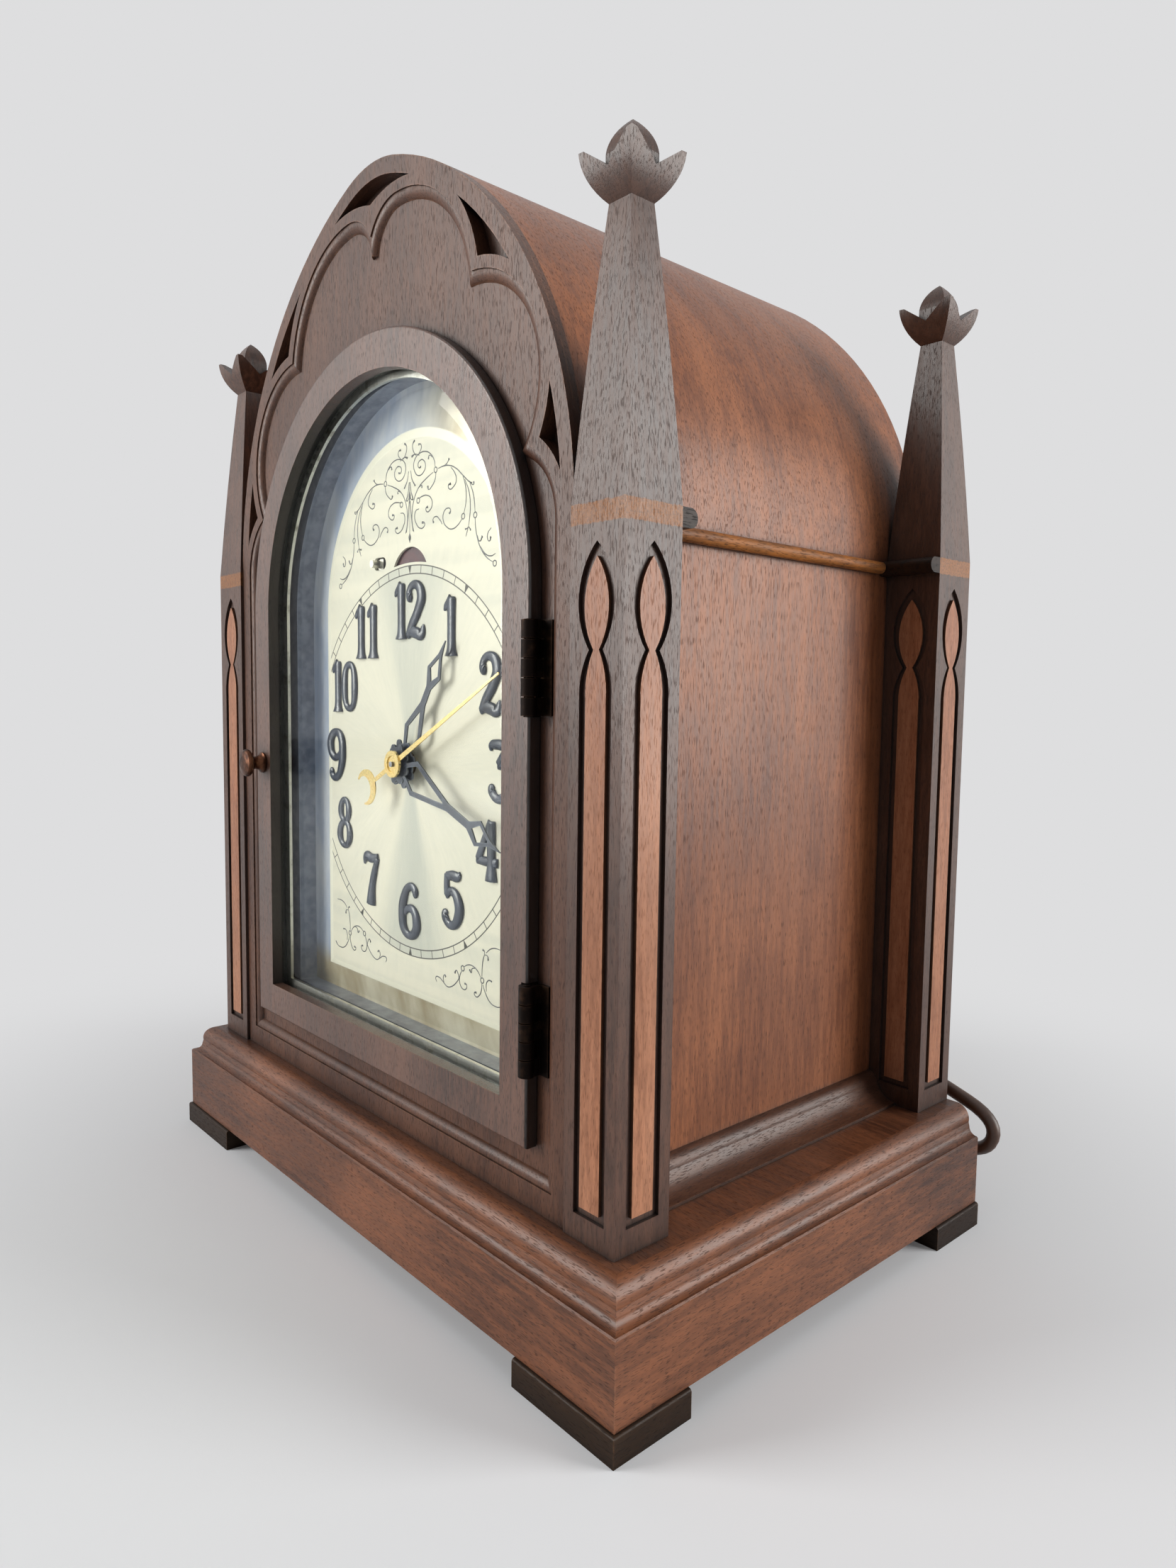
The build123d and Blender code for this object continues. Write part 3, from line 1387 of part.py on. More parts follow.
coil_centre = (coil_x, back + coil_y)
low_z = coil_rest + cord_d / 2
start_x = coil_centre[0] + coil_outer
turn_x = half_width + 2.2
route = [
    (cord_exit_x, exit_y - rail_thick, cord_exit_z),
    (cord_exit_x, back + 14.5, cord_exit_z),
    (cord_exit_x + 22, back + 16, cord_exit_z - 1.5),
    (turn_x - 21.5, back + 9.5, plinth_top + 1.2),
    (turn_x, back + 8.5, plinth_top - 5.5),
    (turn_x - 0.8, back + 8.2, plinth_top - 17.7),
    (turn_x - 18, back + 9.5, plinth_top - 22.5),
    (start_x + 33, back + 15.5, low_z + 11.5),
    (start_x + 13, back + 26, low_z + 3.2),
    (start_x, back + coil_y - 15, low_z),
    (start_x, back + coil_y, low_z),
]


def corner_radii(points):
    radii = []
    for a, b, c in zip(points, points[1:], points[2:]):
        one = Vector(*b) - Vector(*a)
        two = Vector(*c) - Vector(*b)
        turn = math.radians(one.get_angle(two))
        radii.append(0.45 * min(one.length, two.length) / math.tan(turn / 2))
    return radii


route_radii = corner_radii(route)
print("cord corner radii", [round(r, 1) for r in route_radii])
with BuildPart() as mains_cord:
    with BuildLine() as lead:
        FilletPolyline(*route, radius=route_radii)
    with BuildSketch(Plane(origin=route[0], z_dir=(0, 1, 0))):
        Circle(cord_d / 2)
    sweep(path=lead.wire())
lead_length = lead.wire().length
print("cord lead", round(lead_length, 1), "volume ratio",
      round(mains_cord.part.volume / (math.pi * cord_d ** 2 / 4 * lead_length), 4))

# The coil spirals in on the lower layer, climbs in half a turn, and spirals out on the upper layer
crossings = []
half_turns = 2 * coil_turns
for k in range(half_turns + 1):
    reach = coil_outer - k * coil_pitch / 2
    crossings.append(((-1) ** k * reach, low_z))
inner = coil_outer - coil_turns * coil_pitch
for k in range(half_turns):
    reach = inner + k * coil_pitch / 2 if k else inner - coil_draw
    crossings.append((-((-1) ** k) * reach, low_z + coil_layer))
tail_run = cord_d * 5.6
with BuildPart() as cord_coil:
    with BuildLine() as winding:
        here = Vector(coil_centre[0] + crossings[0][0], coil_centre[1], crossings[0][1])
        heading = Vector(0, 1, 0)
        for k in range(len(crossings) - 1):
            ahead = Vector(coil_centre[0] + crossings[k + 1][0], coil_centre[1], crossings[k + 1][1])
            span = (ahead - here).length / 2
            summit = (here + ahead) * 0.5 + Vector(0, span * (-1) ** k, 0)
            first = TangentArc(here, summit, tangent=heading)
            second = TangentArc(summit, ahead, tangent=first % 1)
            heading = Vector(0, -((-1) ** k), 0)
            here = ahead
        tail = Line(here, here + heading * tail_run)
    with BuildSketch(Plane(origin=winding.wire() @ 0, z_dir=(0, 1, 0))):
        Circle(cord_d / 2)
    sweep(path=winding.wire())
coil_length = winding.wire().length
samples = [winding.wire() @ (n / 1200) for n in range(1201)]
least = 1e9
skip = int(1200 * 20 / coil_length)
for i, p in enumerate(samples):
    for q in samples[i + skip:]:
        gap = (p - q).length - cord_d
        least = min(least, gap)
print("coil length", round(coil_length, 1), "least self gap", round(least, 3), "volume ratio",
      round(cord_coil.part.volume / (math.pi * cord_d ** 2 / 4 * coil_length), 4))
print("cord in all", round(lead_length + coil_length, 1))

# Strap round the coil, and the plug on the free end
with BuildPart() as cord_tie:
    tie_in = coil_centre[0] - inner + coil_draw + cord_d / 2 + 2.0
    tie_out = coil_centre[0] - coil_outer - cord_d / 2 - 0.4
    tie_low = coil_rest - 0.4
    tie_high = coil_rest + cord_d + coil_layer + 0.4
    block(
        tie_out - tie_wall, tie_in + tie_wall, coil_centre[1] - tie_width / 2, coil_centre[1] + tie_width / 2,
        tie_low - tie_wall, tie_high + tie_wall,
    )
    block(
        tie_out, tie_in, coil_centre[1] - tie_width, coil_centre[1] + tie_width,
        tie_low, tie_high, Mode.SUBTRACT,
    )

plug_at = winding.wire() @ 1
with BuildPart() as plug_body:
    with BuildSketch(Plane(origin=tuple(plug_at), x_dir=(1, 0, 0), z_dir=(0, 0, 1))):
        with BuildLine():
            Line((0, 0), (cord_d * 0.7, 0))
            ThreePointArc((cord_d * 0.7, 0), (plug_r * 0.62, plug_length * 0.3), (plug_r, plug_length * 0.5))
            Line((plug_r, plug_length * 0.5), (plug_r, plug_length))
            Line((plug_r, plug_length), (0, plug_length))
            Line((0, plug_length), (0, 0))
        make_face()
    revolve(axis=Axis(tuple(plug_at), (0, 1, 0)))

with BuildPart() as plug_blades:
    for sign in (-1, 1):
        block(
            plug_at.X + sign * 6.35 - 0.75, plug_at.X + sign * 6.35 + 0.75,
            plug_at.Y + plug_length, plug_at.Y + plug_length + blade_length,
            plug_at.Z - 3.2, plug_at.Z + 3.2,
        )

pieces = {
    "base_plinth": base_plinth,
    "corner_feet": corner_feet,
    "post_inlays": post_inlays,
    "collar_rods": collar_rods,
    "case_shell": case_shell,
    "front_panel": front_panel,
    "tracery_frame": tracery_frame,
    "side_coves": side_coves,
    "back_rail": back_rail,
    "door_frame": door_frame,
    "door_glass": door_glass,
    "glass_retainer": glass_retainer,
    "door_knob": door_knob,
    "case_hinge_leaves": case_hinge_leaves,
    "door_hinge_leaves": door_hinge_leaves,
    "hinge_pins": hinge_pins,
    "back_door": back_door_drilled,
    "back_door_leaves": back_door_leaves,
    "back_knob": back_knob,
    "dial_spacer": dial_spacer,
    "dial_plate": dial_plate,
    "dial_numerals": dial_numerals,
    "chime_lever": chime_lever,
    "power_flag": power_flag,
    "hour_hand": hour_hand,
    "minute_hand": minute_hand,
    "seconds_hand": seconds_hand,
    "movement_front_plate": movement_front_plate,
    "movement_back_plate": movement_back_plate,
    "frame_pillars": frame_pillars,
    "machine_screws": machine_screws,
    "minute_arbor": minute_arbor,
    "hour_wheel": hour_wheel,
    "minute_wheel": minute_wheel,
    "set_arbor": set_arbor,
    "intermediate_wheel": intermediate_wheel,
    "seconds_arbor": seconds_arbor,
    "field_core": field_core,
    "field_coil": field_coil,
    "rotor_can": rotor_can,
    "seat_board": seat_board,
    "seat_cleats": seat_cleats,
    "hammer_frame": hammer_frame,
    "chime_drum": chime_drum,
    "rod_block": rod_block,
    "chime_rods": chime_rods,
    "cord_bushing": cord_bushing,
    "mains_cord": mains_cord,
    "cord_coil": cord_coil,
    "cord_tie": cord_tie,
    "plug_body": plug_body,
    "plug_blades": plug_blades,
}
for name, piece in pieces.items():
    piece.part.label = name
    export_step(piece.part, f"parts/{name}.step")
print("pieces", len(pieces) + len(post_names) + hammer_count)
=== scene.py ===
import logging
import math
from abc import ABC, abstractmethod
from collections.abc import Callable
from dataclasses import dataclass, replace
from enum import Enum
from functools import cached_property

import bmesh
import bpy
from mathutils import Matrix, Vector


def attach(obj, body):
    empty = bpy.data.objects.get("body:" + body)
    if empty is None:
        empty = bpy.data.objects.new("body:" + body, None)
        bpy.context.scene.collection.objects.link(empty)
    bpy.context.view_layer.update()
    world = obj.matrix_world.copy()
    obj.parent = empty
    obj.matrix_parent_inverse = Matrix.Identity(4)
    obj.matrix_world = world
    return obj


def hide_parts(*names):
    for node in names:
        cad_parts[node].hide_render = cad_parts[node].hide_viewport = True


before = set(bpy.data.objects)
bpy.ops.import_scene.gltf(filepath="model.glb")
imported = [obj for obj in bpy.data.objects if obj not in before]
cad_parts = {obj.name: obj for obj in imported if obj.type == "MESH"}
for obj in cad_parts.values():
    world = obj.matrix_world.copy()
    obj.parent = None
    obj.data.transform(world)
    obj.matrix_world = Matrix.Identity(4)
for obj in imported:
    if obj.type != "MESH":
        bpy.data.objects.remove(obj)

LOG = logging.getLogger("mantel_clock")
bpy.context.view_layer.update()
MM = 0.001
SPRING = 225.5  # height in millimetres at which the arches spring
EDGE_SAMPLES = 4
HOLLOW_SAMPLES = 6
Colour = tuple[float, float, float, float]
Point = tuple[float, float, float]
Material = bpy.types.Material
Curve = bpy.types.Curve


def tint(red: int, green: int, blue: int) -> Colour:
    """Turn a colour given in steps of 255 into the values that a shader takes.

    Args:
        red: Red step.
        green: Green step.
        blue: Blue step.

    Returns:
        The same colour as linear red, green, blue and alpha.
    """
    steps = [step / 255 for step in (red, green, blue)]
    flat = [s / 12.92 if s < 0.04045 else ((s + 0.055) / 1.055) ** 2.4 for s in steps]
    return (flat[0], flat[1], flat[2], 1.0)


BACKDROP = tint(222, 222, 223)


class Grain(Enum):
    """Way the fibres of a board run, as the stretch that draws them out."""

    UP = (1.0, 1.0, 0.13)
    ACROSS = (0.13, 1.0, 1.0)
    DEEP = (1.0, 0.13, 1.0)
    ROUND = (0.13, 0.13, 1.0)
    WRAP = (1.0, 1.0, 0.1)


@dataclass(frozen=True)
class Cloud:
    """Soft noise with so many cells to a millimetre, and the band of it that counts from 0 to 1."""

    scale: float
    detail: float
    rough: float
    low: float = 0.0
    high: float = 0.0


def maths(operation: str, swapped: bool = False) -> Callable[..., "Field"]:
    """Give the method of a field that adds one Math node.

    Args:
        operation: Blender's name of the operation.
        swapped: True where the field stands behind the other value.

    Returns:
        The method.
    """
    def method(field: "Field", other: "Field | float" = 0.0) -> "Field":
        """Add the node over the field and another value."""
        pair = (other, field) if swapped else (field, other)
        return field.sheet.node("Math", dict(enumerate(pair)), operation=operation)

    return method


@dataclass(frozen=True)
class Field:
    """One output of a shader node, which takes part in plain arithmetic."""

    sheet: "NodeSheet"
    socket: bpy.types.NodeSocket

    def out(self, name: str) -> "Field":
        """Give another output of the same node."""
        return Field(self.sheet, self.socket.node.outputs[name])

    __add__ = maths("ADD")
    __radd__ = maths("ADD", swapped=True)
    __sub__ = maths("SUBTRACT")
    __rsub__ = maths("SUBTRACT", swapped=True)
    __mul__ = maths("MULTIPLY")
    __rmul__ = maths("MULTIPLY", swapped=True)
    __truediv__ = maths("DIVIDE")
    __pow__ = maths("POWER")
    __abs__ = maths("ABSOLUTE")
    least = maths("MINIMUM")
    most = maths("MAXIMUM")
    root = maths("SQRT")
    sine = maths("SINE")
    part = maths("FRACT")  # what is left past the whole number
    bearing = maths("ARCTAN2")  # angle of a sine side and a cosine side

    def band(self, low: float, high: float) -> "Field":
        """Rise smoothly from 0 at low to 1 at high, or fall where low is the larger."""
        ends = (low, high, 0.0, 1.0) if low < high else (high, low, 1.0, 0.0)
        return self.sheet.node("MapRange", dict(enumerate((self, *ends))), interpolation_type="SMOOTHSTEP")

    def stretch(self, by: Point) -> "Field":
        """Scale a vector by one number for each axis."""
        return self.sheet.node("VectorMath", {0: self, 1: by}, operation="MULTIPLY")

    def axes(self) -> tuple["Field", "Field", "Field"]:
        """Split a vector into its three numbers."""
        first = self.sheet.node("SeparateXYZ", {0: self})
        return first, first.out("Y"), first.out("Z")


class NodeSheet:
    """The node tree of one material, or of the room."""

    def __init__(self, name: str, room: bool = False) -> None:
        """Start an empty tree.

        Args:
            name: Name of the material or the room.
            room: True for the room's tree.
        """
        self.owner = bpy.data.worlds.new(name) if room else bpy.data.materials.new(name)
        self.end_kind = "ShaderNodeOutputWorld" if room else "ShaderNodeOutputMaterial"
        self.owner.use_nodes = True
        self.tree = self.owner.node_tree
        self.tree.nodes.clear()

    def node(self, kind: str, values: dict, output: int | str = 0, **settings: int | str) -> Field:
        """Add a node, set it up and join it.

        Args:
            kind: Blender's name of the node type, past its common beginning.
            values: Numbers, colours or fields for its input sockets.
            output: Output socket to hand back.
            settings: Attributes of the node, set before its sockets.

        Returns:
            The chosen output.
        """
        made = self.tree.nodes.new("ShaderNode" + kind)
        for key, value in settings.items():
            setattr(made, key, value)
        for key, value in values.items():
            if isinstance(value, Field):
                self.tree.links.new(value.socket, made.inputs[key])
            else:
                made.inputs[key].default_value = value
        return Field(self, made.outputs[output])

    @cached_property
    def place(self) -> Field:
        """Object coordinates in millimetres."""
        spot = self.node("TexCoord", {}, "Object")
        return self.node("VectorMath", {0: spot, "Scale": 1.0 / MM}, operation="SCALE")

    def facing(self) -> tuple[Field, Field, Field]:
        """Way in which the face looks, as three numbers."""
        return self.node("NewGeometry", {}, "True Normal").axes()

    def vector(self, x: Field | float, y: Field | float, z: Field | float) -> Field:
        """Join three numbers to a vector."""
        return self.node("CombineXYZ", {0: x, 1: y, 2: z})

    def noise(self, cloud: Cloud, where: Field | None = None) -> Field:
        """Spread soft noise over the piece.

        Args:
            cloud: The noise and its band.
            where: Another place to spread it over, in millimetres.

        Returns:
            The noise, cut to its band where the cloud has one.
        """
        soft = self.node("TexNoise", {
            "Vector": where or self.place, "Scale": cloud.scale, "Detail": cloud.detail, "Roughness": cloud.rough,
        })
        return soft if cloud.low == cloud.high else soft.band(cloud.low, cloud.high)

    def mix(self, factor: Field | float, first: Field | Colour, second: Field | Colour) -> Field:
        """Blend two colours."""
        return self.node("Mix", {0: factor, 6: first, 7: second}, 2, data_type="RGBA")

    def blend(self, factor: Field, first: Field, second: Field) -> Field:
        """Blend two vectors."""
        return self.node("Mix", {0: factor, 4: first, 5: second}, 1, data_type="VECTOR")

    def edge(self, width: float, low: float = 0.03, high: float = 0.3) -> Field:
        """Mark the arrises of a piece.

        Args:
            width: How far the mark reaches from an arris, in millimetres.
            low: Bend of the surface at which the mark starts.
            high: Bend of the surface at which it is full.

        Returns:
            1 along the arrises and 0 away from them.
        """
        rounded = self.node("Bevel", {"Radius": width * MM}, samples=EDGE_SAMPLES)
        flat = self.node("NewGeometry", {}, "Normal")
        along = self.node("VectorMath", {0: rounded, 1: flat}, "Value", operation="DOT_PRODUCT")
        return (1.0 - along).band(low, high)

    def hollow(self, reach: float) -> Field:
        """Fall from 1 in the open to 0 deep in grooves, seen over so many millimetres."""
        return self.node("AmbientOcclusion", {"Distance": reach * MM}, "AO", samples=HOLLOW_SAMPLES)

    def bump(self, height: Field, strength: float, depth: float) -> Field:
        """Turn a height into a bent normal, with a depth in millimetres."""
        return self.node("Bump", {"Strength": strength, "Distance": depth * MM, "Height": height})

    def finish(self, values: dict) -> Material:
        """Close the sheet with a principled surface that has these values in its sockets."""
        return self.close(self.node("BsdfPrincipled", values))

    def close(self, surface: Field) -> Material | bpy.types.World:
        """Join a shader to the output and hand back what it dresses."""
        self.tree.links.new(surface.socket, self.tree.nodes.new(self.end_kind).inputs["Surface"])
        return self.owner


class Finish(ABC):
    """Procedural finish that pieces of the clock are dressed in."""

    @abstractmethod
    def make(self) -> Material:
        """Make the material."""

    def dress(self, *nodes: str) -> Material:
        """Give CAD pieces this finish.

        Args:
            nodes: Names of the pieces.

        Returns:
            The material that they share.
        """
        material = self.make()
        for name in nodes:
            for slot in bpy.data.objects[name].material_slots:
                slot.material = material
            LOG.info("dressed %s in %s", name, material.name)
        return material


@dataclass(frozen=True)
class StainedWood(Finish):
    """Open-pored hardwood under a dark stain that has worn along its arrises, with painted shade laid into its
    creases and recesses.
    """

    name: str
    dark: Colour
    body: Colour
    light: Colour
    worn: Colour
    grain: Grain = Grain.UP
    fleck: float = 0.55
    roughness: float = 0.4
    coat: float = 0.12
    coat_roughness: float = 0.24
    gloss: float = 0.26
    wear: float = 0.7
    wear_width: float = 1.0
    # painted shade: share and reach in millimetres of the darkening laid into fine creases, found by occlusion
    crease_shade: float = 0.95
    crease_shade_reach: float = 2.8
    # painted shade: share and reach in millimetres of the darkening laid into broad recesses and corners, found by
    # occlusion
    recess_shade: float = 0.5
    recess_shade_reach: float = 14.0
    # share by which faces that look sideways darken: dark paint on a reveal, painted shade on outer edges
    sides: float = 0.0
    # span along the depth beyond which the two ends get painted shade, and its softness
    ends_low: float = 0.0
    ends_high: float = 0.0
    ends_soft: float = 0.2
    bare_low: float = 0.0
    bare_high: float = 0.0
    bare_soft: float = 0.25
    bare_ragged: float = 1.4
    bend: float = 100.0
    pore: Colour = tint(14, 8, 6)
    # colour of the painted shade in fine creases
    crease_shadow: Colour = tint(10, 6, 5)
    # colour of the sideways faces: dark paint and painted shade together
    side_dark_and_shade: Colour = tint(20, 13, 11)
    # colour of the painted shade on the two ends
    end_shade: Colour = tint(16, 11, 9)
    bare: Colour = tint(140, 88, 42)
    glue: Colour = tint(70, 40, 22)
    figures: Cloud = Cloud(0.07, 3.0, 0.6, 0.3, 0.74)
    streaks: Cloud = Cloud(0.62, 4.0, 0.66, 0.34, 0.68)
    flecks: Cloud = Cloud(3.0, 1.0, 0.5, 0.56, 0.66)
    clouds: Cloud = Cloud(0.02, 2.0, 0.5, 0.3, 0.72)
    patches: Cloud = Cloud(0.011, 2.0, 0.5, 0.58, 0.38)
    scuffs: Cloud = Cloud(0.35, 4.0, 0.7, 0.38, 0.66)
    tears: Cloud = Cloud(0.6, 3.0, 0.6)
    glue_runs: Cloud = Cloud(1.6, 5.0, 0.75, 0.36, 0.7)

    def make(self) -> Material:
        """Make the material.

        Returns:
            The finished wood.
        """
        sheet = NodeSheet(self.name)
        drawn = self.draw_out(sheet)
        streak = sheet.noise(self.streaks, drawn)
        pores = sheet.noise(self.flecks, drawn)
        # colour of the pores, also used for the painted shade in broad recesses
        pore_and_shade = sheet.mix(0.5, self.dark, self.pore)
        colour = sheet.mix(streak * 0.8 + 0.14, self.dark, self.body)
        lighter = sheet.noise(self.figures, drawn) * 0.35 + sheet.noise(self.clouds) * 0.2
        colour = sheet.mix(lighter, colour, self.light)
        colour = sheet.mix(sheet.noise(self.patches) * 0.35, colour, self.dark)
        colour = sheet.mix(pores * self.fleck, colour, pore_and_shade)
        rubbed = sheet.edge(self.wear_width) * sheet.noise(self.scuffs) * self.wear
        colour = self.darken_sides_and_ends(sheet, streak, sheet.mix(rubbed, colour, self.worn))
        coat = self.coat * (1.0 - pores * 0.7)
        if self.bare_high > self.bare_low:
            stripped = self.bare_band(sheet)
            raw = sheet.mix(sheet.noise(self.glue_runs) * 0.75, self.bare, self.glue)
            colour = sheet.mix(stripped, colour, raw)
            coat = coat * (1.0 - stripped)
        # painted shade: darken broad recesses and fine creases where occlusion is found
        recess_shaded = sheet.hollow(self.recess_shade_reach).band(0.96, 0.4) * self.recess_shade
        crease_shaded = sheet.hollow(self.crease_shade_reach).band(0.8, 0.28) * self.crease_shade
        colour = sheet.mix(crease_shaded, sheet.mix(recess_shaded, colour, pore_and_shade), self.crease_shadow)
        height = (1.0 - pores) * 0.7 + streak * 0.3
        rough = self.roughness + pores * 0.2 + (streak - 0.5) * 0.08 - rubbed * 0.05 + crease_shaded * 0.3
        return sheet.finish({
            "Base Color": colour, "Roughness": rough, "Coat Weight": coat, "Coat Roughness": self.coat_roughness,
            "Specular IOR Level": self.gloss, "Normal": sheet.bump(height, 0.3, 0.1),
        })

    def draw_out(self, sheet: NodeSheet) -> Field:
        """Draw the place out along the fibres.

        Args:
            sheet: Nodes of the material.

        Returns:
            The place with its run along the fibres shortened.
        """
        if self.grain is Grain.WRAP:
            x, y, height = sheet.place.axes()
            above = (height - SPRING).most(0.0)
            run = height.least(SPRING) + above.bearing(abs(x)) * self.bend
            return sheet.vector(y, (x * x + above * above).root(), run * self.grain.value[2])
        if self.grain is Grain.ROUND:
            east, north, _ = sheet.facing()
            sideways = (abs(east) - abs(north)).band(0.05, 0.15)
            across, deep = (sheet.place.stretch(way.value) for way in (Grain.ACROSS, Grain.DEEP))
            return sheet.blend(sideways, across, deep)
        return sheet.place.stretch(self.grain.value)

    def darken_sides_and_ends(self, sheet: NodeSheet, streak: Field, colour: Field) -> Field:
        """Darken the sides or the two ends of a piece that has it there: dark paint and painted shade on the sides,
        painted shade on the ends.

        Args:
            sheet: Nodes of the material.
            streak: Streaks of the wood.
            colour: Colour beneath the darkening.

        Returns:
            The colour with the sides and ends darkened.
        """
        # sideways faces darken: dark paint on a reveal, painted shade on outer edges
        if self.sides:
            sideways = abs(sheet.facing()[0]).band(0.2, 0.6)
            colour = sheet.mix(sideways * self.sides, colour, self.side_dark_and_shade)
        # painted shade on the two ends, where a rod runs onto the posts' faces
        if self.ends_high > self.ends_low:
            deep = sheet.place.axes()[1]
            near = deep.band(self.ends_low + self.ends_soft, self.ends_low - self.ends_soft)
            far = deep.band(self.ends_high - self.ends_soft, self.ends_high + self.ends_soft)
            colour = sheet.mix(near.most(far) * (0.88 + streak * 0.12), colour, self.end_shade)
        return colour

    def bare_band(self, sheet: NodeSheet) -> Field:
        """Mark the level band where a lost moulding has left raw wood.

        Args:
            sheet: Nodes of the material.

        Returns:
            1 within the band and 0 outside it.
        """
        ragged = sheet.place.axes()[2] + (sheet.noise(self.tears) - 0.5) * self.bare_ragged
        below = ragged.band(self.bare_high + self.bare_soft, self.bare_high - self.bare_soft)
        return ragged.band(self.bare_low - self.bare_soft, self.bare_low + self.bare_soft) * below


@dataclass(frozen=True)
class AgedMetal(Finish):
    """Metal with patches of tarnish and bright worn arrises."""

    name: str
    bright: Colour
    tarnish: Colour
    spread: float = 0.5
    roughness: float = 0.34
    brushed: Point = (1.0, 1.0, 1.0)
    wear_width: float = 0.5
    patches: Cloud = Cloud(0.16, 5.0, 0.62)
    brush_lines: Cloud = Cloud(2.6, 3.0, 0.6)

    def make(self) -> Material:
        """Make the material.

        Returns:
            The finished metal.
        """
        sheet = NodeSheet(self.name)
        patch = sheet.noise(self.patches).band(0.62 - self.spread * 0.5, 0.86 - self.spread * 0.4)
        lines = sheet.noise(self.brush_lines, sheet.place.stretch(self.brushed))
        rubbed = sheet.edge(self.wear_width)
        return sheet.finish({
            "Base Color": sheet.mix(patch * (1.0 - rubbed * 0.7), self.bright, self.tarnish), "Metallic": 1.0,
            "Roughness": self.roughness + patch * 0.14 + (lines - 0.5) * 0.12,
            "Normal": sheet.bump(lines, 0.12, 0.05),
        })


@dataclass(frozen=True)
class SatinPaint(Finish):
    """Baked paint on raised metal, paler where light catches its arrises."""

    name: str
    body: Colour
    deep: Colour
    rim: Colour
    rim_width: float = 0.5
    roughness: float = 0.3
    clouds: Cloud = Cloud(0.22, 3.0, 0.6, 0.3, 0.72)
    peel: Cloud = Cloud(1.8, 3.0, 0.5)

    def make(self) -> Material:
        """Make the material.

        Returns:
            The finished paint.
        """
        sheet = NodeSheet(self.name)
        peel = sheet.noise(self.peel)
        coat = sheet.mix(sheet.noise(self.clouds), self.body, self.deep)
        return sheet.finish({
            "Base Color": sheet.mix(sheet.edge(self.rim_width, 0.04, 0.34) * 0.75, coat, self.rim),
            "Roughness": self.roughness + (peel - 0.5) * 0.16, "Coat Weight": 0.35, "Coat Roughness": 0.18,
            "Normal": sheet.bump(peel, 0.1, 0.06),
        })


@dataclass(frozen=True)
class MouldedStuff(Finish):
    """Rubber, plastic or varnished wrapping with a fine pebbled skin."""

    name: str
    body: Colour
    patch: Colour
    roughness: float = 0.5
    pebble: float = 2.4
    stretch: Point = (1.0, 1.0, 1.0)
    clouds: Cloud = Cloud(0.09, 4.0, 0.6, 0.35, 0.72)

    def make(self) -> Material:
        """Make the material.

        Returns:
            The finished skin.
        """
        sheet = NodeSheet(self.name)
        place = sheet.place.stretch(self.stretch)
        cloud = sheet.noise(self.clouds, place)
        skin = sheet.noise(Cloud(self.pebble, 3.0, 0.6), place)
        return sheet.finish({
            "Base Color": sheet.mix(cloud * 0.8 + (skin - 0.5) * 0.3, self.body, self.patch),
            "Roughness": self.roughness + (skin - 0.5) * 0.2, "Normal": sheet.bump(skin, 0.2, 0.08),
        })


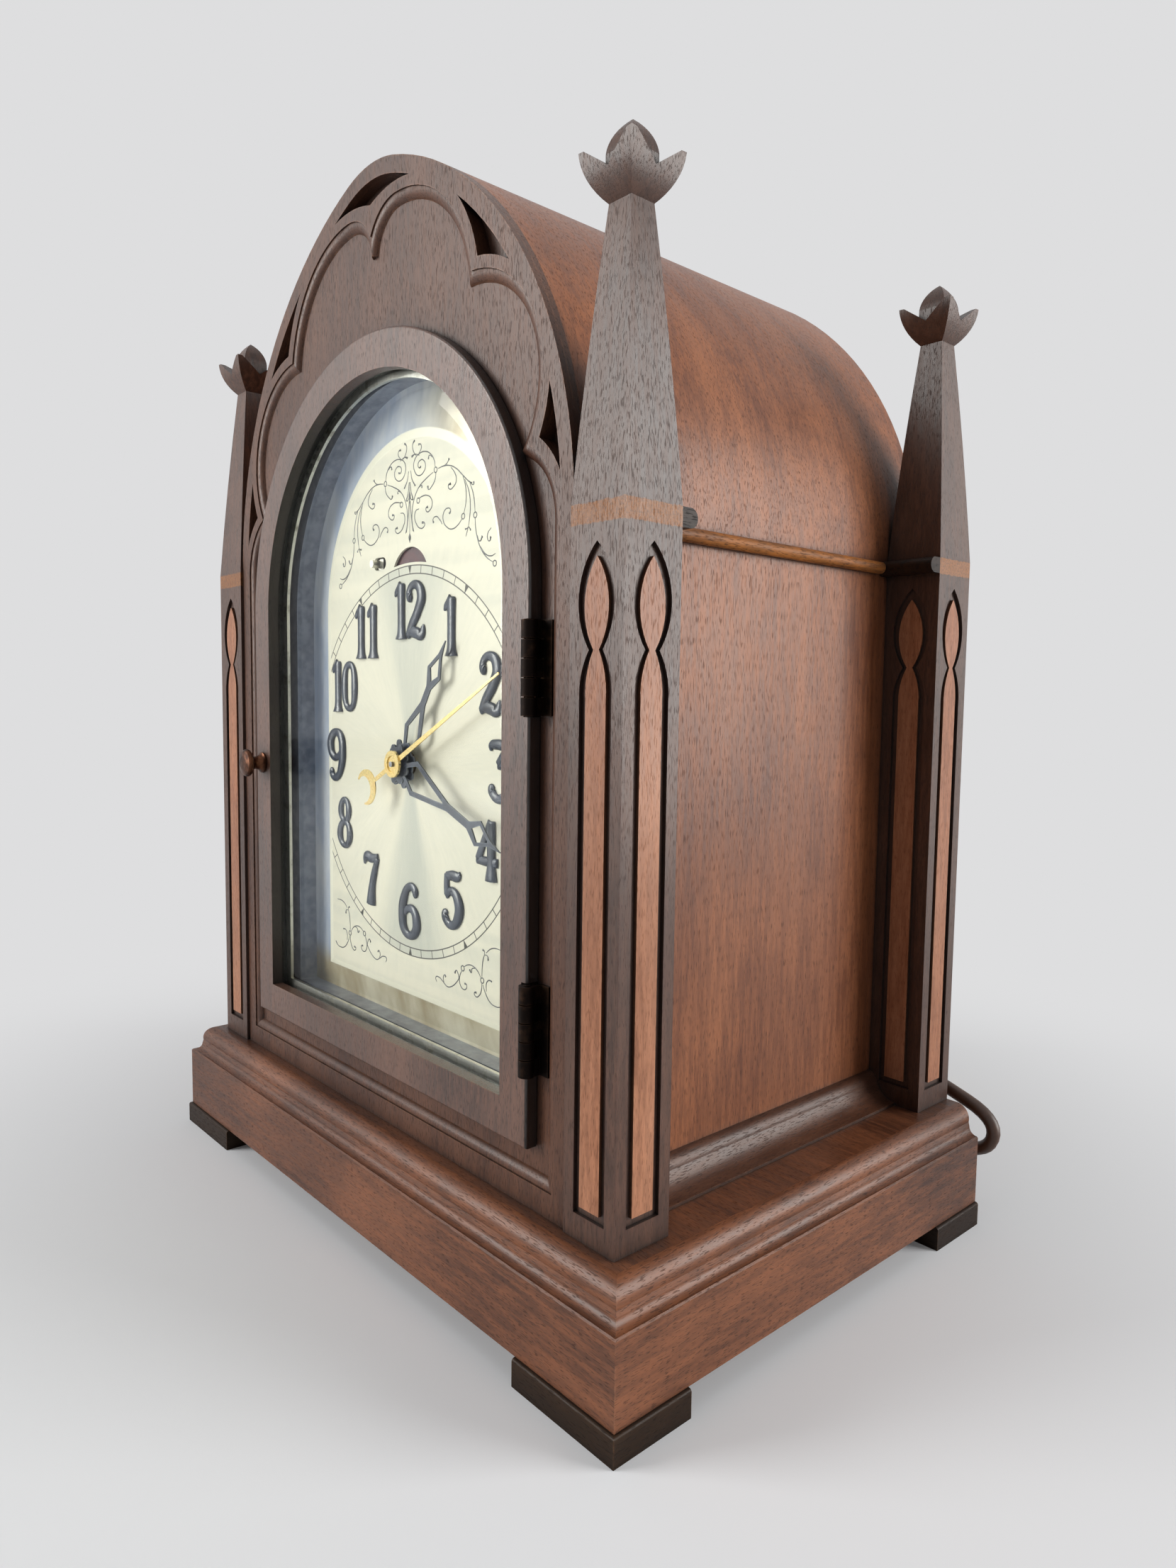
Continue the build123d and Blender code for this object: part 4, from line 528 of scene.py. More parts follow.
@dataclass(frozen=True)
class SilveredDial(Finish):
    """Brushed silvered dial with a printed minute ring and a sloping polished border, with painted sheen on the flat,
    a painted highlight along the bend and a painted reflection on the border.
    """

    name: str = "silvered_dial"
    centre_height: float = 170.0
    flat_half: float = 58.5
    flat_foot: float = 87.0
    slope_wide: float = 17.0
    slope_low: float = 11.1
    ring_out: float = 70.2
    ring_in: float = 67.3
    line: float = 0.2
    minutes: int = 60
    hour_step: int = 5
    dart_slope: float = 0.34
    # millimetres past the bend where the painted reflection on the border begins
    reflection_start: float = 3.2
    cold_from: float = 34.0
    cold_to: float = -14.0
    row_stretch: Point = (0.03, 1.0, 1.0)
    reflection_mottle_stretch: Point = (1.0, 1.0, 0.4)
    silver: Colour = tint(236, 231, 211)
    # darker grey of the brushing, also used for the painted sheen
    brushed_grey_and_sheen: Colour = tint(200, 201, 188)
    stain: Colour = tint(176, 160, 120)
    ink: Colour = tint(62, 60, 52)
    # colour of the painted highlight along the bend
    bend_highlight: Colour = tint(253, 250, 230)
    # cold colours of the painted reflection on the border's far side
    border: Colour = tint(236, 240, 246)
    cold_reflection_deep: Colour = tint(176, 194, 224)
    # golden colours of the painted reflection elsewhere on the border
    warm_reflection: Colour = tint(232, 225, 200)
    warm_reflection_deep: Colour = tint(180, 164, 130)
    fine_rays: Cloud = Cloud(34.0, 3.0, 0.6)
    broad_rays: Cloud = Cloud(2.2, 1.0, 0.4, 0.3, 0.7)
    rows: Cloud = Cloud(0.16, 2.0, 0.5, 0.35, 0.7)
    stains: Cloud = Cloud(0.11, 5.0, 0.7, 0.62, 0.8)
    # mottle within the painted reflection on the border
    reflection_mottle: Cloud = Cloud(0.05, 4.0, 0.6, 0.3, 0.7)

    def make(self) -> Material:
        """Make the material.

        Returns:
            The finished dial.
        """
        sheet = NodeSheet(self.name)
        x, _, height = sheet.place.axes()
        up = height - self.centre_height
        radius = (x * x + up * up).root()
        angle = x.bearing(up)
        ray = sheet.vector(x / radius, up / radius, radius * 0.004)
        fine = sheet.noise(self.fine_rays, ray)
        # painted sheen: darker wedges above 12 and below 6 stand in for the brushed dial's reflection
        sheen_wedge = abs(angle.sine()).band(0.42, 0.16)
        rows = sheet.noise(self.rows, sheet.place.stretch(self.row_stretch))
        inside = radius.band(self.ring_out + 0.3, self.ring_out - 0.3)
        rays_and_sheen = sheen_wedge * 0.75 + sheet.noise(self.broad_rays, ray) * 0.25
        # tone of the flat: painted sheen and brushing inside the ring, brushed rows outside it
        shade = rays_and_sheen * inside + rows * 0.4 * (1.0 - inside)
        colour = sheet.mix(shade + (fine - 0.5) * 0.5, self.silver, self.brushed_grey_and_sheen)
        colour = sheet.mix(sheet.noise(self.stains) * 0.22, colour, self.stain)
        ahead = sheet.facing()[1].band(0.0, -0.3)
        colour = sheet.mix(self.ring_mask(radius, angle) * ahead, colour, self.ink)
        out = self.slope_distance(x, height)
        slope = out.band(self.reflection_start - 0.5, self.reflection_start + 0.4)
        # painted highlight along the bend of the border
        colour = sheet.mix(out.band(-0.4, 0.2) * 0.9, colour, self.bend_highlight)
        # painted reflection over the sloping border
        colour = sheet.mix(slope, colour, self.border_reflection(sheet))
        return sheet.finish({
            "Base Color": colour, "Metallic": 0.06 + slope * 0.12,
            "Roughness": 0.38 + (fine - 0.5) * 0.16 - slope * 0.18,
            "Normal": sheet.bump(fine * (1.0 - slope), 0.06, 0.04),
        })

    def border_reflection(self, sheet: NodeSheet) -> Field:
        """Paint the reflection on the border, cold on its far side and golden elsewhere.

        Args:
            sheet: Nodes of the material.

        Returns:
            The painted reflection on the border.
        """
        x, _, height = sheet.place.axes()
        reflection_mottle = sheet.noise(self.reflection_mottle, sheet.place.stretch(self.reflection_mottle_stretch))
        cold_reflected_side = x.band(self.cold_from, self.cold_to) * height.band(self.flat_foot - 4.0, self.flat_foot + 6.0)
        warm_reflection = sheet.mix(reflection_mottle, self.warm_reflection, self.warm_reflection_deep)
        return sheet.mix(cold_reflected_side, warm_reflection, sheet.mix(reflection_mottle, self.border, self.cold_reflection_deep))

    def ring_mask(self, radius: Field, angle: Field) -> Field:
        """Draw the two lines of the minute ring, its strokes and its hour darts.

        Args:
            radius: Distance from the middle of the dial.
            angle: Bearing clockwise from the top.

        Returns:
            1 on the ink and 0 beside it.
        """
        line = (self.line * 1.5, self.line * 0.5)
        outer = abs(radius - self.ring_out).band(*line)
        inner = abs(radius - self.ring_in).band(*line)
        turn = angle * (self.minutes / math.tau)
        arc = math.tau * self.ring_out / self.minutes
        stroke = abs((turn + 0.5).part() - 0.5) * arc
        hour = abs((turn / self.hour_step + 0.5).part() - 0.5) * (arc * self.hour_step)
        held = radius.band(self.ring_out + 0.1, self.ring_out) * radius.band(self.ring_in - 0.1, self.ring_in)
        dart = (hour - (radius - self.ring_in) * self.dart_slope).band(0.25, -0.05)
        return outer.most(inner).most(stroke.band(*line).most(dart) * held)

    def slope_distance(self, x: Field, height: Field) -> Field:
        """Measure how far a spot lies out on the sloping border.

        Args:
            x: Place across the dial.
            height: Place up the dial.

        Returns:
            Millimetres past the bend, less than nothing inside it.
        """
        above = (height - SPRING).most(0.0)
        side = (x * x + above * above).root() - self.flat_half
        return side.most((self.flat_foot - height) * (self.slope_wide / self.slope_low))


@dataclass(frozen=True)
class PlateGlass(Finish):
    """Clear plate glass that keeps its gloss."""

    name: str = "plate_glass"
    clear: Colour = tint(254, 255, 254)
    smears: Cloud = Cloud(0.06, 4.0, 0.6)

    def make(self) -> Material:
        """Make the material.

        Returns:
            The finished glass.
        """
        sheet = NodeSheet(self.name)
        smear = sheet.noise(self.smears)
        clear = sheet.node("BsdfTransparent", {"Color": self.clear})
        gloss = sheet.node("BsdfGlossy", {"Roughness": 0.02 + smear * 0.05})
        slant = sheet.node("LayerWeight", {"Blend": 0.5}, "Facing")
        part = 0.02 + (slant ** 5.0) * 0.5
        return sheet.close(sheet.node("MixShader", {0: part, 1: clear, 2: gloss}))


@dataclass(frozen=True)
class WovenTie(Finish):
    """Narrow woven tape, with its threads crossing."""

    name: str = "woven_tie"
    thread: Colour = tint(74, 62, 50)
    shade: Colour = tint(44, 36, 29)
    along: float = 7.0
    across: float = 3.0

    def make(self) -> Material:
        """Make the material.

        Returns:
            The finished tape.
        """
        sheet = NodeSheet(self.name)
        x, y, z = sheet.place.axes()
        weave = (x * self.along + z * self.across).sine() * (y * self.along - z * self.across).sine()
        lift = weave * 0.5 + 0.5
        return sheet.finish({
            "Base Color": sheet.mix(lift, self.shade, self.thread), "Roughness": 0.8 - lift * 0.1,
            "Normal": sheet.bump(lift, 0.5, 0.15),
        })


@dataclass(frozen=True)
class FloorPaint(Finish):
    """Pale floor that runs out into the backdrop between two distances."""

    name: str = "floor_paint"
    shade: Colour = tint(244, 247, 252)
    mottle: Colour = tint(216, 218, 220)
    near: float = 90.0
    far: float = 440.0
    clouds: Cloud = Cloud(0.004, 3.0, 0.5)

    def make(self) -> Material:
        """Make the material.

        Returns:
            The finished floor.
        """
        sheet = NodeSheet(self.name)
        x, y, _ = sheet.place.axes()
        paint = sheet.node("BsdfPrincipled", {
            "Base Color": sheet.mix(sheet.noise(self.clouds) * 0.12, self.shade, self.mottle),
            "Roughness": 0.75, "Specular IOR Level": 0.2,
        })
        seen = sheet.node("LightPath", {}, "Is Camera Ray")
        away = (x * x + y * y).root().band(self.near, self.far) * seen
        glow = sheet.node("Emission", {"Color": BACKDROP})
        return sheet.close(sheet.node("MixShader", {0: away, 1: paint, 2: glow}))


@dataclass(frozen=True)
class RoomLight:
    """Even light of the room, in front of a pale backdrop."""

    air: Colour = (1.0, 0.985, 0.96, 1.0)
    strength: float = 0.15

    def make(self) -> bpy.types.World:
        """Make the room.

        Returns:
            The world with its light.
        """
        sheet = NodeSheet("room", room=True)
        path = sheet.node("LightPath", {}, "Is Camera Ray")
        shown = path.most(path.out("Is Glossy Ray")).most(path.out("Is Transmission Ray"))
        light = sheet.node("Background", {"Color": self.air, "Strength": self.strength})
        scene = sheet.node("Background", {"Color": BACKDROP})
        return sheet.close(sheet.node("MixShader", {0: shown, 1: light, 2: scene}))


def put(name: str, data: bpy.types.ID) -> bpy.types.Object:
    """Put a new object into the scene.

    Args:
        name: Name of the object.
        data: Its mesh, line, lamp or lens.

    Returns:
        The object.
    """
    made = bpy.data.objects.new(name, data)
    bpy.context.scene.collection.objects.link(made)
    return made


def round_line(name: str, bore: float, rings: int, steps: int) -> Curve:
    """Start a round line with closed ends.

    Args:
        name: Name of the line.
        bore: Half its thickness in millimetres.
        rings: Fineness around it.
        steps: Fineness along it.

    Returns:
        The line, with no run on it yet.
    """
    line = bpy.data.curves.new(name, "CURVE")
    line.dimensions = "3D"
    line.bevel_depth = bore * MM
    line.bevel_resolution = rings
    line.resolution_u = steps
    line.use_fill_caps = True
    return line


@dataclass(frozen=True)
class SoftLamp:
    """Soft lamp that looks at the clock, with its sizes in metres and its power in watts."""

    name: str
    spot: Point
    width: float
    height: float
    power: float
    aim: Point = (0.0, 0.0, 0.17)
    shade: Point = (1.0, 0.985, 0.955)

    def hang(self) -> None:
        """Hang the lamp."""
        pane = bpy.data.lights.new(self.name, "AREA")
        pane.shape = "RECTANGLE"
        pane.size = self.width
        pane.size_y = self.height
        pane.energy = self.power
        pane.color = self.shade
        turn = (Vector(self.spot) - Vector(self.aim)).to_track_quat("Z", "Y").to_matrix()
        put(self.name, pane).matrix_world = Matrix.Translation(self.spot) @ turn.to_4x4()


@dataclass
class Studio:
    """Floor, soft lamps and the camera of the photograph."""

    eye: Point = (0.31538, -0.26167, 0.19384)
    yaw: float = 0.8387
    pitch: float = 0.0828
    roll: float = 0.01305
    focal: float = 1438.88
    picture_wide: float = 1659.0
    sensor: float = 36.0
    nearest: float = 0.01
    floor_wide: float = 8.0
    lamps: tuple[SoftLamp, ...] = (
        SoftLamp("side_window", (1.35, 1.0, 0.55), 0.9, 1.2, 30.0),
        SoftLamp("front_window", (-1.05, -1.55, 0.75), 0.9, 1.3, 34.0),
        SoftLamp("ceiling_lamp", (0.1, -0.1, 1.7), 1.4, 1.4, 3.0),
    )

    def build(self) -> None:
        """Set up the whole studio."""
        self.hang_camera()
        self.lay_floor()
        bpy.context.scene.world = RoomLight().make()
        for lamp in self.lamps:
            lamp.hang()
        bpy.context.scene.view_settings.view_transform = "Standard"

    def hang_camera(self) -> None:
        """Place the camera where the photograph was taken."""
        lens = bpy.data.cameras.new("camera")
        lens.sensor_fit = "HORIZONTAL"
        lens.sensor_width = self.sensor
        lens.lens = self.sensor * self.focal / self.picture_wide
        lens.clip_start = self.nearest
        aside = Matrix.Rotation(self.yaw, 4, "Z") @ Matrix.Rotation(math.pi / 2 - self.pitch, 4, "X")
        camera = put("camera", lens)
        camera.matrix_world = Matrix.Translation(self.eye) @ aside @ Matrix.Rotation(self.roll, 4, "Z")
        bpy.context.scene.camera = camera

    def lay_floor(self) -> None:
        """Lay the pale floor."""
        bpy.ops.mesh.primitive_plane_add(size=self.floor_wide, location=(0.0, 0.0, 0.0))
        floor = bpy.context.object
        floor.name = "floor"
        floor.data.materials.append(FloorPaint().make())


@dataclass
class MainsLead:
    """Mains cord that leaves the back, rounds the plinth and lies in a tied coil."""

    bore: float = 2.5
    coil_x: float = 8.0
    coil_y: float = 149.55
    low: float = 4.3
    high: float = 9.9
    tail: tuple[float, ...] = (14.0, 30.0)
    steps: int = 8
    route: tuple[Point, ...] = (
        (72, 87.55, 50.5), (72, 108.05, 50.5), (94, 109.55, 49.0), (120.7, 103.05, 45.2), (142.2, 102.05, 38.5),
        (141.4, 101.75, 26.3), (124.2, 103.05, 21.5), (82, 109.05, 15.8), (62, 119.55, 7.5), (49, 134.55, 4.3),
        (49, 149.55, 4.3),
    )
    widest: float = 41.0
    pitch: float = 2.85
    inward: int = 11
    crossing: float = -10.0
    outward: int = 9

    def build(self) -> None:
        """Lay the cord and dress the pieces on it."""
        MouldedStuff("bushing_rubber", tint(40, 32, 28), tint(24, 20, 18), 0.55).dress("cord_bushing")
        MouldedStuff("plug_shell", tint(58, 38, 28), tint(38, 25, 19), 0.36, 1.1).dress("plug_body")
        AgedMetal("plug_brass", tint(196, 166, 104), tint(120, 92, 50), 0.3, 0.26).dress("plug_blades")
        WovenTie().dress("cord_tie")
        cord = put("mains_lead", self.lay())
        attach(cord, "case")
        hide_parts("mains_cord", "cord_coil")
        LOG.info("laid mains_lead")

    def lay(self) -> Curve:
        """Lay the cord along its route and its coil.

        Returns:
            The line of the cord, in its rubber.
        """
        line = round_line("mains_lead", self.bore, rings=4, steps=6)
        line.materials.append(MouldedStuff("cord_flex", tint(74, 47, 32), tint(48, 30, 22), 0.42, 1.6).make())
        points = list(self.route) + self.coil_points()
        run = line.splines.new("NURBS")
        run.points.add(len(points) - 1)
        for knot, (x, y, z) in zip(run.points, points):
            knot.co = (x * MM, y * MM, z * MM, 1.0)
        run.order_u = 3
        run.use_endpoint_u = True
        return line

    def coil_points(self) -> list[Point]:
        """Give the turns of the coil, first inwards and then outwards on top.

        Returns:
            Points of the turns and of the tail, in millimetres.
        """
        wide = [(self.widest - self.pitch * at) * (-1) ** at for at in range(self.inward)]
        over = [self.crossing] + [-x for x in reversed(wide[1:self.outward + 1])]
        cross = [(self.coil_x + x, self.low) for x in wide] + [(self.coil_x + x, self.high) for x in over]
        points: list[Point] = []
        for turn, ((x0, z0), (x1, z1)) in enumerate(zip(cross, cross[1:])):
            middle = (x0 + x1) / 2
            reach = (x0 - x1) / 2
            side = 1 if turn % 2 == 0 else -1
            for step in range(1, self.steps + 1):
                way = math.pi * step / self.steps
                rise = z0 + (z1 - z0) * step / self.steps
                points.append((
                    middle + reach * math.cos(way), self.coil_y + side * abs(reach) * math.sin(way), rise,
                ))
        for onward in self.tail:
            points.append((self.coil_x + over[-1], self.coil_y + onward, self.high))
        return points


@dataclass
class CaseWork:
    """Plinth, feet, bent shell, traceried front and the mouldings between them."""

    dark: Colour = tint(50, 29, 22)
    body: Colour = tint(89, 57, 41)
    light: Colour = tint(115, 77, 57)
    worn: Colour = tint(141, 96, 69)
    rod_front: float = -53.4
    rod_rear: float = 66.1

    def wood(self, name: str, grain: Grain, **changes: float | Colour) -> StainedWood:
        """Give the case's own wood under a name, with the way of its fibres and what differs."""
        usual = StainedWood(name, self.dark, self.body, self.light, self.worn, grain)
        return replace(usual, **changes)

    def build(self) -> None:
        """Dress every board of the case."""
        plinth = self.wood("plinth_wood", Grain.ROUND, body=tint(118, 72, 47), light=tint(154, 97, 65))
        plinth.dress("base_plinth")
        self.wood(
            "foot_wood", Grain.ROUND, dark=tint(30, 20, 14), body=tint(48, 33, 22), light=tint(66, 47, 31),
            worn=tint(116, 82, 54), coat=0.0, gloss=0.12,
        ).dress("corner_feet")
        self.wood(
            "shell_veneer", Grain.WRAP, dark=tint(82, 43, 26), body=tint(140, 84, 51), light=tint(174, 111, 72),
        ).dress("case_shell")
        self.wood("panel_veneer", Grain.UP).dress("front_panel")
        self.wood("tracery_wood", Grain.UP, wear=0.9).dress("tracery_frame")
        self.wood("moulding_wood", Grain.DEEP).dress("side_coves", "back_rail")
        # painted shade on the rod's two ends, where it runs onto the posts
        self.wood(
            "rod_wood", Grain.DEEP, body=tint(146, 88, 40), light=tint(182, 118, 58), coat=0.0, gloss=0.15,
            ends_low=self.rod_front, ends_high=self.rod_rear,
        ).dress("collar_rods")
        # painted reflection: blue-grey paint on the spacer stands in for the cold reflection that the dial's surround
        # shows
        SatinPaint(
            "surround_reflection_grey", tint(132, 140, 156), tint(98, 106, 124), tint(182, 188, 198), roughness=0.4,
        ).dress("dial_spacer")
        self.wood(
            "raw_board", Grain.ACROSS, dark=tint(126, 92, 60), body=tint(168, 130, 88), light=tint(186, 150, 106),
            worn=tint(190, 156, 112), roughness=0.6, coat=0.0,
        ).dress("seat_board", "seat_cleats")


@dataclass
class CornerPosts:
    """Four spired posts with sunk inlays, and the bare bands that lost collars have left."""

    collar_low: float = 239.6
    collar_high: float = 245.1

    def build(self) -> None:
        """Dress the posts and their inlays."""
        StainedWood(
            "post_wood", tint(42, 25, 19), tint(86, 56, 42), tint(112, 78, 61), tint(64, 34, 24), wear=1.0,
            wear_width=1.5, coat=0.16, gloss=0.34, fleck=0.4, bare_low=self.collar_low, bare_high=self.collar_high,
        ).dress("post_front_left", "post_front_right", "post_rear_left", "post_rear_right")
        StainedWood(
            "inlay_wood", tint(120, 72, 46), tint(172, 114, 82), tint(204, 150, 118), tint(198, 144, 110),
            fleck=0.4, wear=0.3,
        ).dress("post_inlays")


@dataclass
class FrontDoor:
    """Arched glazed door with its hinges and knob."""

    def build(self) -> None:
        """Dress the door."""
        # the door's sideways faces darken: dark paint on its reveal, painted shade on its outer edges
        StainedWood(
            "door_wood", tint(44, 29, 23), tint(94, 62, 48), tint(122, 86, 69), tint(129, 86, 60), coat=0.3,
            gloss=0.5, sides=0.9,
        ).dress("door_frame")
        PlateGlass().dress("door_glass")
        AgedMetal("oxidised_brass", tint(64, 46, 34), tint(24, 19, 17), 0.8, 0.4).dress(
            "case_hinge_leaves", "door_hinge_leaves", "hinge_pins")
        AgedMetal("knob_bronze", tint(98, 64, 46), tint(46, 30, 23), 0.6, 0.3).dress("door_knob")
        AgedMetal("retainer_nickel", tint(206, 206, 200), tint(150, 146, 134), 0.3).dress("glass_retainer")


@dataclass
class BackDoor:
    """Slotted back door with its leaves and knob."""

    def build(self) -> None:
        """Dress the back door."""
        StainedWood(
            "back_board", tint(60, 42, 30), tint(104, 74, 52), tint(128, 96, 70), tint(150, 116, 86), Grain.ACROSS,
            coat=0.05, roughness=0.55,
        ).dress("back_door")
        AgedMetal("back_brass", tint(150, 118, 64), tint(84, 62, 36), 0.6).dress("back_door_leaves", "back_knob")


@dataclass(frozen=True)
class Stroke:
    """One stroke of a numeral or a scroll: spots across and up, with half the width at each."""

    spots: tuple[Point, ...]
    closed: bool = False

    def moved(self, x: float, z: float, turn: float = 1.0, wide: float = 1.0) -> "Stroke":
        """Give the same stroke elsewhere, with -1 as turn upside down or with -1 as wide mirrored."""
        return Stroke(tuple((x + a * wide * turn, z + b * turn, half) for a, b, half in self.spots), self.closed)


def loop(x: float, z: float, wide: float, tall: float, side: float, end: float) -> Stroke:
    """Draw a closed oval by its middle, its half sizes and half its width at the sides and the ends."""
    return Stroke(((x + wide, z, side), (x, z + tall, end), (x - wide, z, side), (x, z - tall, end)), True)


FINE_HALF = 0.2  # half the width of a scroll line in millimetres
FINE_START = 0.14


def tendrils(*rows: tuple[float, ...]) -> tuple[Stroke, ...]:
    """Draw fine scroll lines.

    Args:
        rows: Half the width at the line's far end, and then its spots, across and up by turns.

    Returns:
        One stroke for each row.
    """
    strokes: list[Stroke] = []
    for tip, *run in rows:
        spots = list(zip(run[::2], run[1::2]))
        halves = [FINE_START] + [FINE_HALF] * (len(spots) - 2) + [tip]
        strokes.append(Stroke(tuple((x, z, half) for (x, z), half in zip(spots, halves))))
    return tuple(strokes)


def ring(x: float, z: float, radius: float = 0.9) -> Stroke:
    """Draw a small ring on a scroll line."""
    return loop(x, z, radius, radius, FINE_HALF, FINE_HALF)


DIGITS: dict[str, tuple[Stroke, ...]] = {
    "0": (loop(0, 0, 3.9, 8.5, 2.1, 1.4),),
    "1": (
        Stroke(((-4.2, 5.6, 0.57), (-3.4, 6.6, 1.26), (-1.4, 8.2, 1.72), (0, 9.4, 1.95))),
        Stroke(((0, 9.9, 1.72), (0, 9.2, 2.3), (0, 4, 2.18), (0, -5, 2.18), (0, -8, 2.53), (0, -9.9, 3.45))),
    ),
    "2": (
        Stroke((
            (-2.0, 4.6, 0.8), (-3.0, 4.6, 1.95), (-4.0, 6.4, 1.49), (0, 9.0, 1.61), (4.0, 5.4, 2.42), (2.0, 0, 2.18),
            (-2.4, -5.6, 1.95), (-4.2, -8.6, 1.72),
        )),
        Stroke(((-4.8, -8.8, 1.38), (-2.4, -7.6, 1.95), (1.0, -8.0, 2.18), (4.2, -8.6, 1.95), (5.2, -6.2, 1.15),
                (5.4, -5.2, 0.46))),
    ),
    "3": (
        Stroke(((-4.8, 6.4, 0.57), (-4.8, 8.0, 1.38), (-2.0, 8.6, 1.72), (2.0, 8.4, 1.72), (4.6, 8.9, 1.26))),
        Stroke(((4.2, 8.4, 1.26), (1.8, 5.2, 1.61), (-0.6, 2.2, 1.72))),
        Stroke(((-0.8, 1.9, 1.38), (2.2, 1.5, 1.72), (4.3, -2.4, 2.42), (3.0, -7.4, 2.07), (-0.6, -9.0, 1.61),
                (-3.6, -7.6, 1.72), (-4.2, -5.8, 1.95), (-3.2, -5.0, 0.8))),
    ),
    "4": (
        Stroke(((1.4, 9.8, 1.38), (-1.8, 3.6, 1.49), (-5.2, -3.2, 1.61))),
        Stroke(((-5.8, -3.6, 1.38), (0, -3.6, 1.72), (5.4, -3.6, 1.61))),
        Stroke(((2.0, 9.9, 1.95), (2.0, 4, 2.18), (2.0, -5, 2.18), (2.0, -9.9, 3.1))),
    ),
    "5": (
        Stroke(((-3.2, 8.0, 1.49), (0, 8.4, 1.84), (3.4, 8.4, 1.84), (5.0, 9.6, 0.92))),
        Stroke(((-3.2, 8.6, 1.38), (-3.3, 4.6, 1.49), (-3.2, 1.2, 1.38))),
        Stroke(((-3.4, 0.8, 1.15), (-0.4, 3.0, 1.61), (4.0, -0.8, 2.42), (3.6, -6.0, 2.3), (0, -9.0, 1.61),
                (-3.6, -7.4, 1.84), (-4.0, -5.4, 1.95), (-2.8, -4.4, 0.8))),
    ),
    "6": (
        Stroke(((2.6, 6.2, 0.8), (3.6, 6.8, 1.84), (2.6, 8.8, 1.61), (-0.4, 8.8, 1.61), (-3.8, 4.4, 2.18),
                (-4.9, -1.8, 2.42), (-3.6, -7.2, 2.18), (0, -9.0, 1.61), (3.8, -7.0, 2.18), (4.6, -3.2, 2.42),
                (2.6, 0.4, 1.95), (-0.6, 0.9, 1.49), (-3.8, -1.4, 1.26))),
    ),
    "7": (
        Stroke(((-5.2, 5.2, 0.57), (-4.8, 6.8, 1.38), (-3.6, 8.4, 1.84), (0, 7.9, 1.95), (4.8, 8.8, 1.38))),
        Stroke(((4.4, 8.4, 1.38), (2.2, 3.0, 1.84), (0.4, -3.0, 2.18), (-0.4, -9.9, 2.99))),
    ),
    "8": (loop(0, 4.9, 3.1, 4.1, 1.9, 1.3), loop(0, -4.4, 3.9, 4.7, 2.0, 1.3)),
}
DIGITS["9"] = tuple(stroke.moved(0, 0, -1.0) for stroke in DIGITS["6"])


@dataclass
class RaisedStrokes:
    """Strokes that stand proud of the dial, rounded in front and sunk behind."""

    name: str
    plane: float = -64.45
    lift: float = 0.3
    rise: float = 0.42
    weld: float = 1e-6

    def build(self, strokes: list[Stroke], material: Material) -> bpy.types.Object:
        """Draw the strokes as one piece on the dial.

        Args:
            strokes: All strokes, in millimetres.
            material: Finish of the piece.

        Returns:
            The new piece, riding the case.
        """
        line = round_line(self.name, 1.0, rings=3, steps=8)
        for stroke in strokes:
            self.draw(line, stroke)
        mesh = self.press(line)
        mesh.materials.clear()
        mesh.materials.append(material)
        piece = put(self.name, mesh)
        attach(piece, "case")
        LOG.info("raised %s", self.name)
        return piece

    def draw(self, line: Curve, stroke: Stroke) -> None:
        """Add one stroke to the line.

        Args:
            line: Line that gathers the strokes.
            stroke: The stroke.
        """
        run = line.splines.new("BEZIER")
        run.bezier_points.add(len(stroke.spots) - 1)
        run.use_cyclic_u = stroke.closed
        run.radius_interpolation = "CARDINAL"
        for knot, (x, z, half) in zip(run.bezier_points, stroke.spots):
            knot.co = (x * MM, 0.0, z * MM)
            knot.radius = half
            knot.handle_left_type = knot.handle_right_type = "AUTO"

    def press(self, line: Curve) -> bpy.types.Mesh:
        """Press round strokes flatter and set them on the dial.

        Args:
            line: Line with all strokes on it.

        Returns:
            Their mesh, at its place.
        """
        brush = put(self.name + "_brush", line)
        graph = bpy.context.evaluated_depsgraph_get()
        mesh = bpy.data.meshes.new_from_object(brush.evaluated_get(graph), depsgraph=graph)
        bpy.data.objects.remove(brush)
        form = bmesh.new()
        form.from_mesh(mesh)
        bmesh.ops.remove_doubles(form, verts=form.verts, dist=self.weld)
        bmesh.ops.scale(form, vec=(1.0, self.rise, 1.0), verts=form.verts)
        bmesh.ops.translate(form, vec=(0.0, (self.plane - self.lift) * MM, 0.0), verts=form.verts)
        bmesh.ops.recalc_face_normals(form, faces=form.faces)
        form.to_mesh(mesh)
        form.free()
        mesh.shade_smooth()
        return mesh


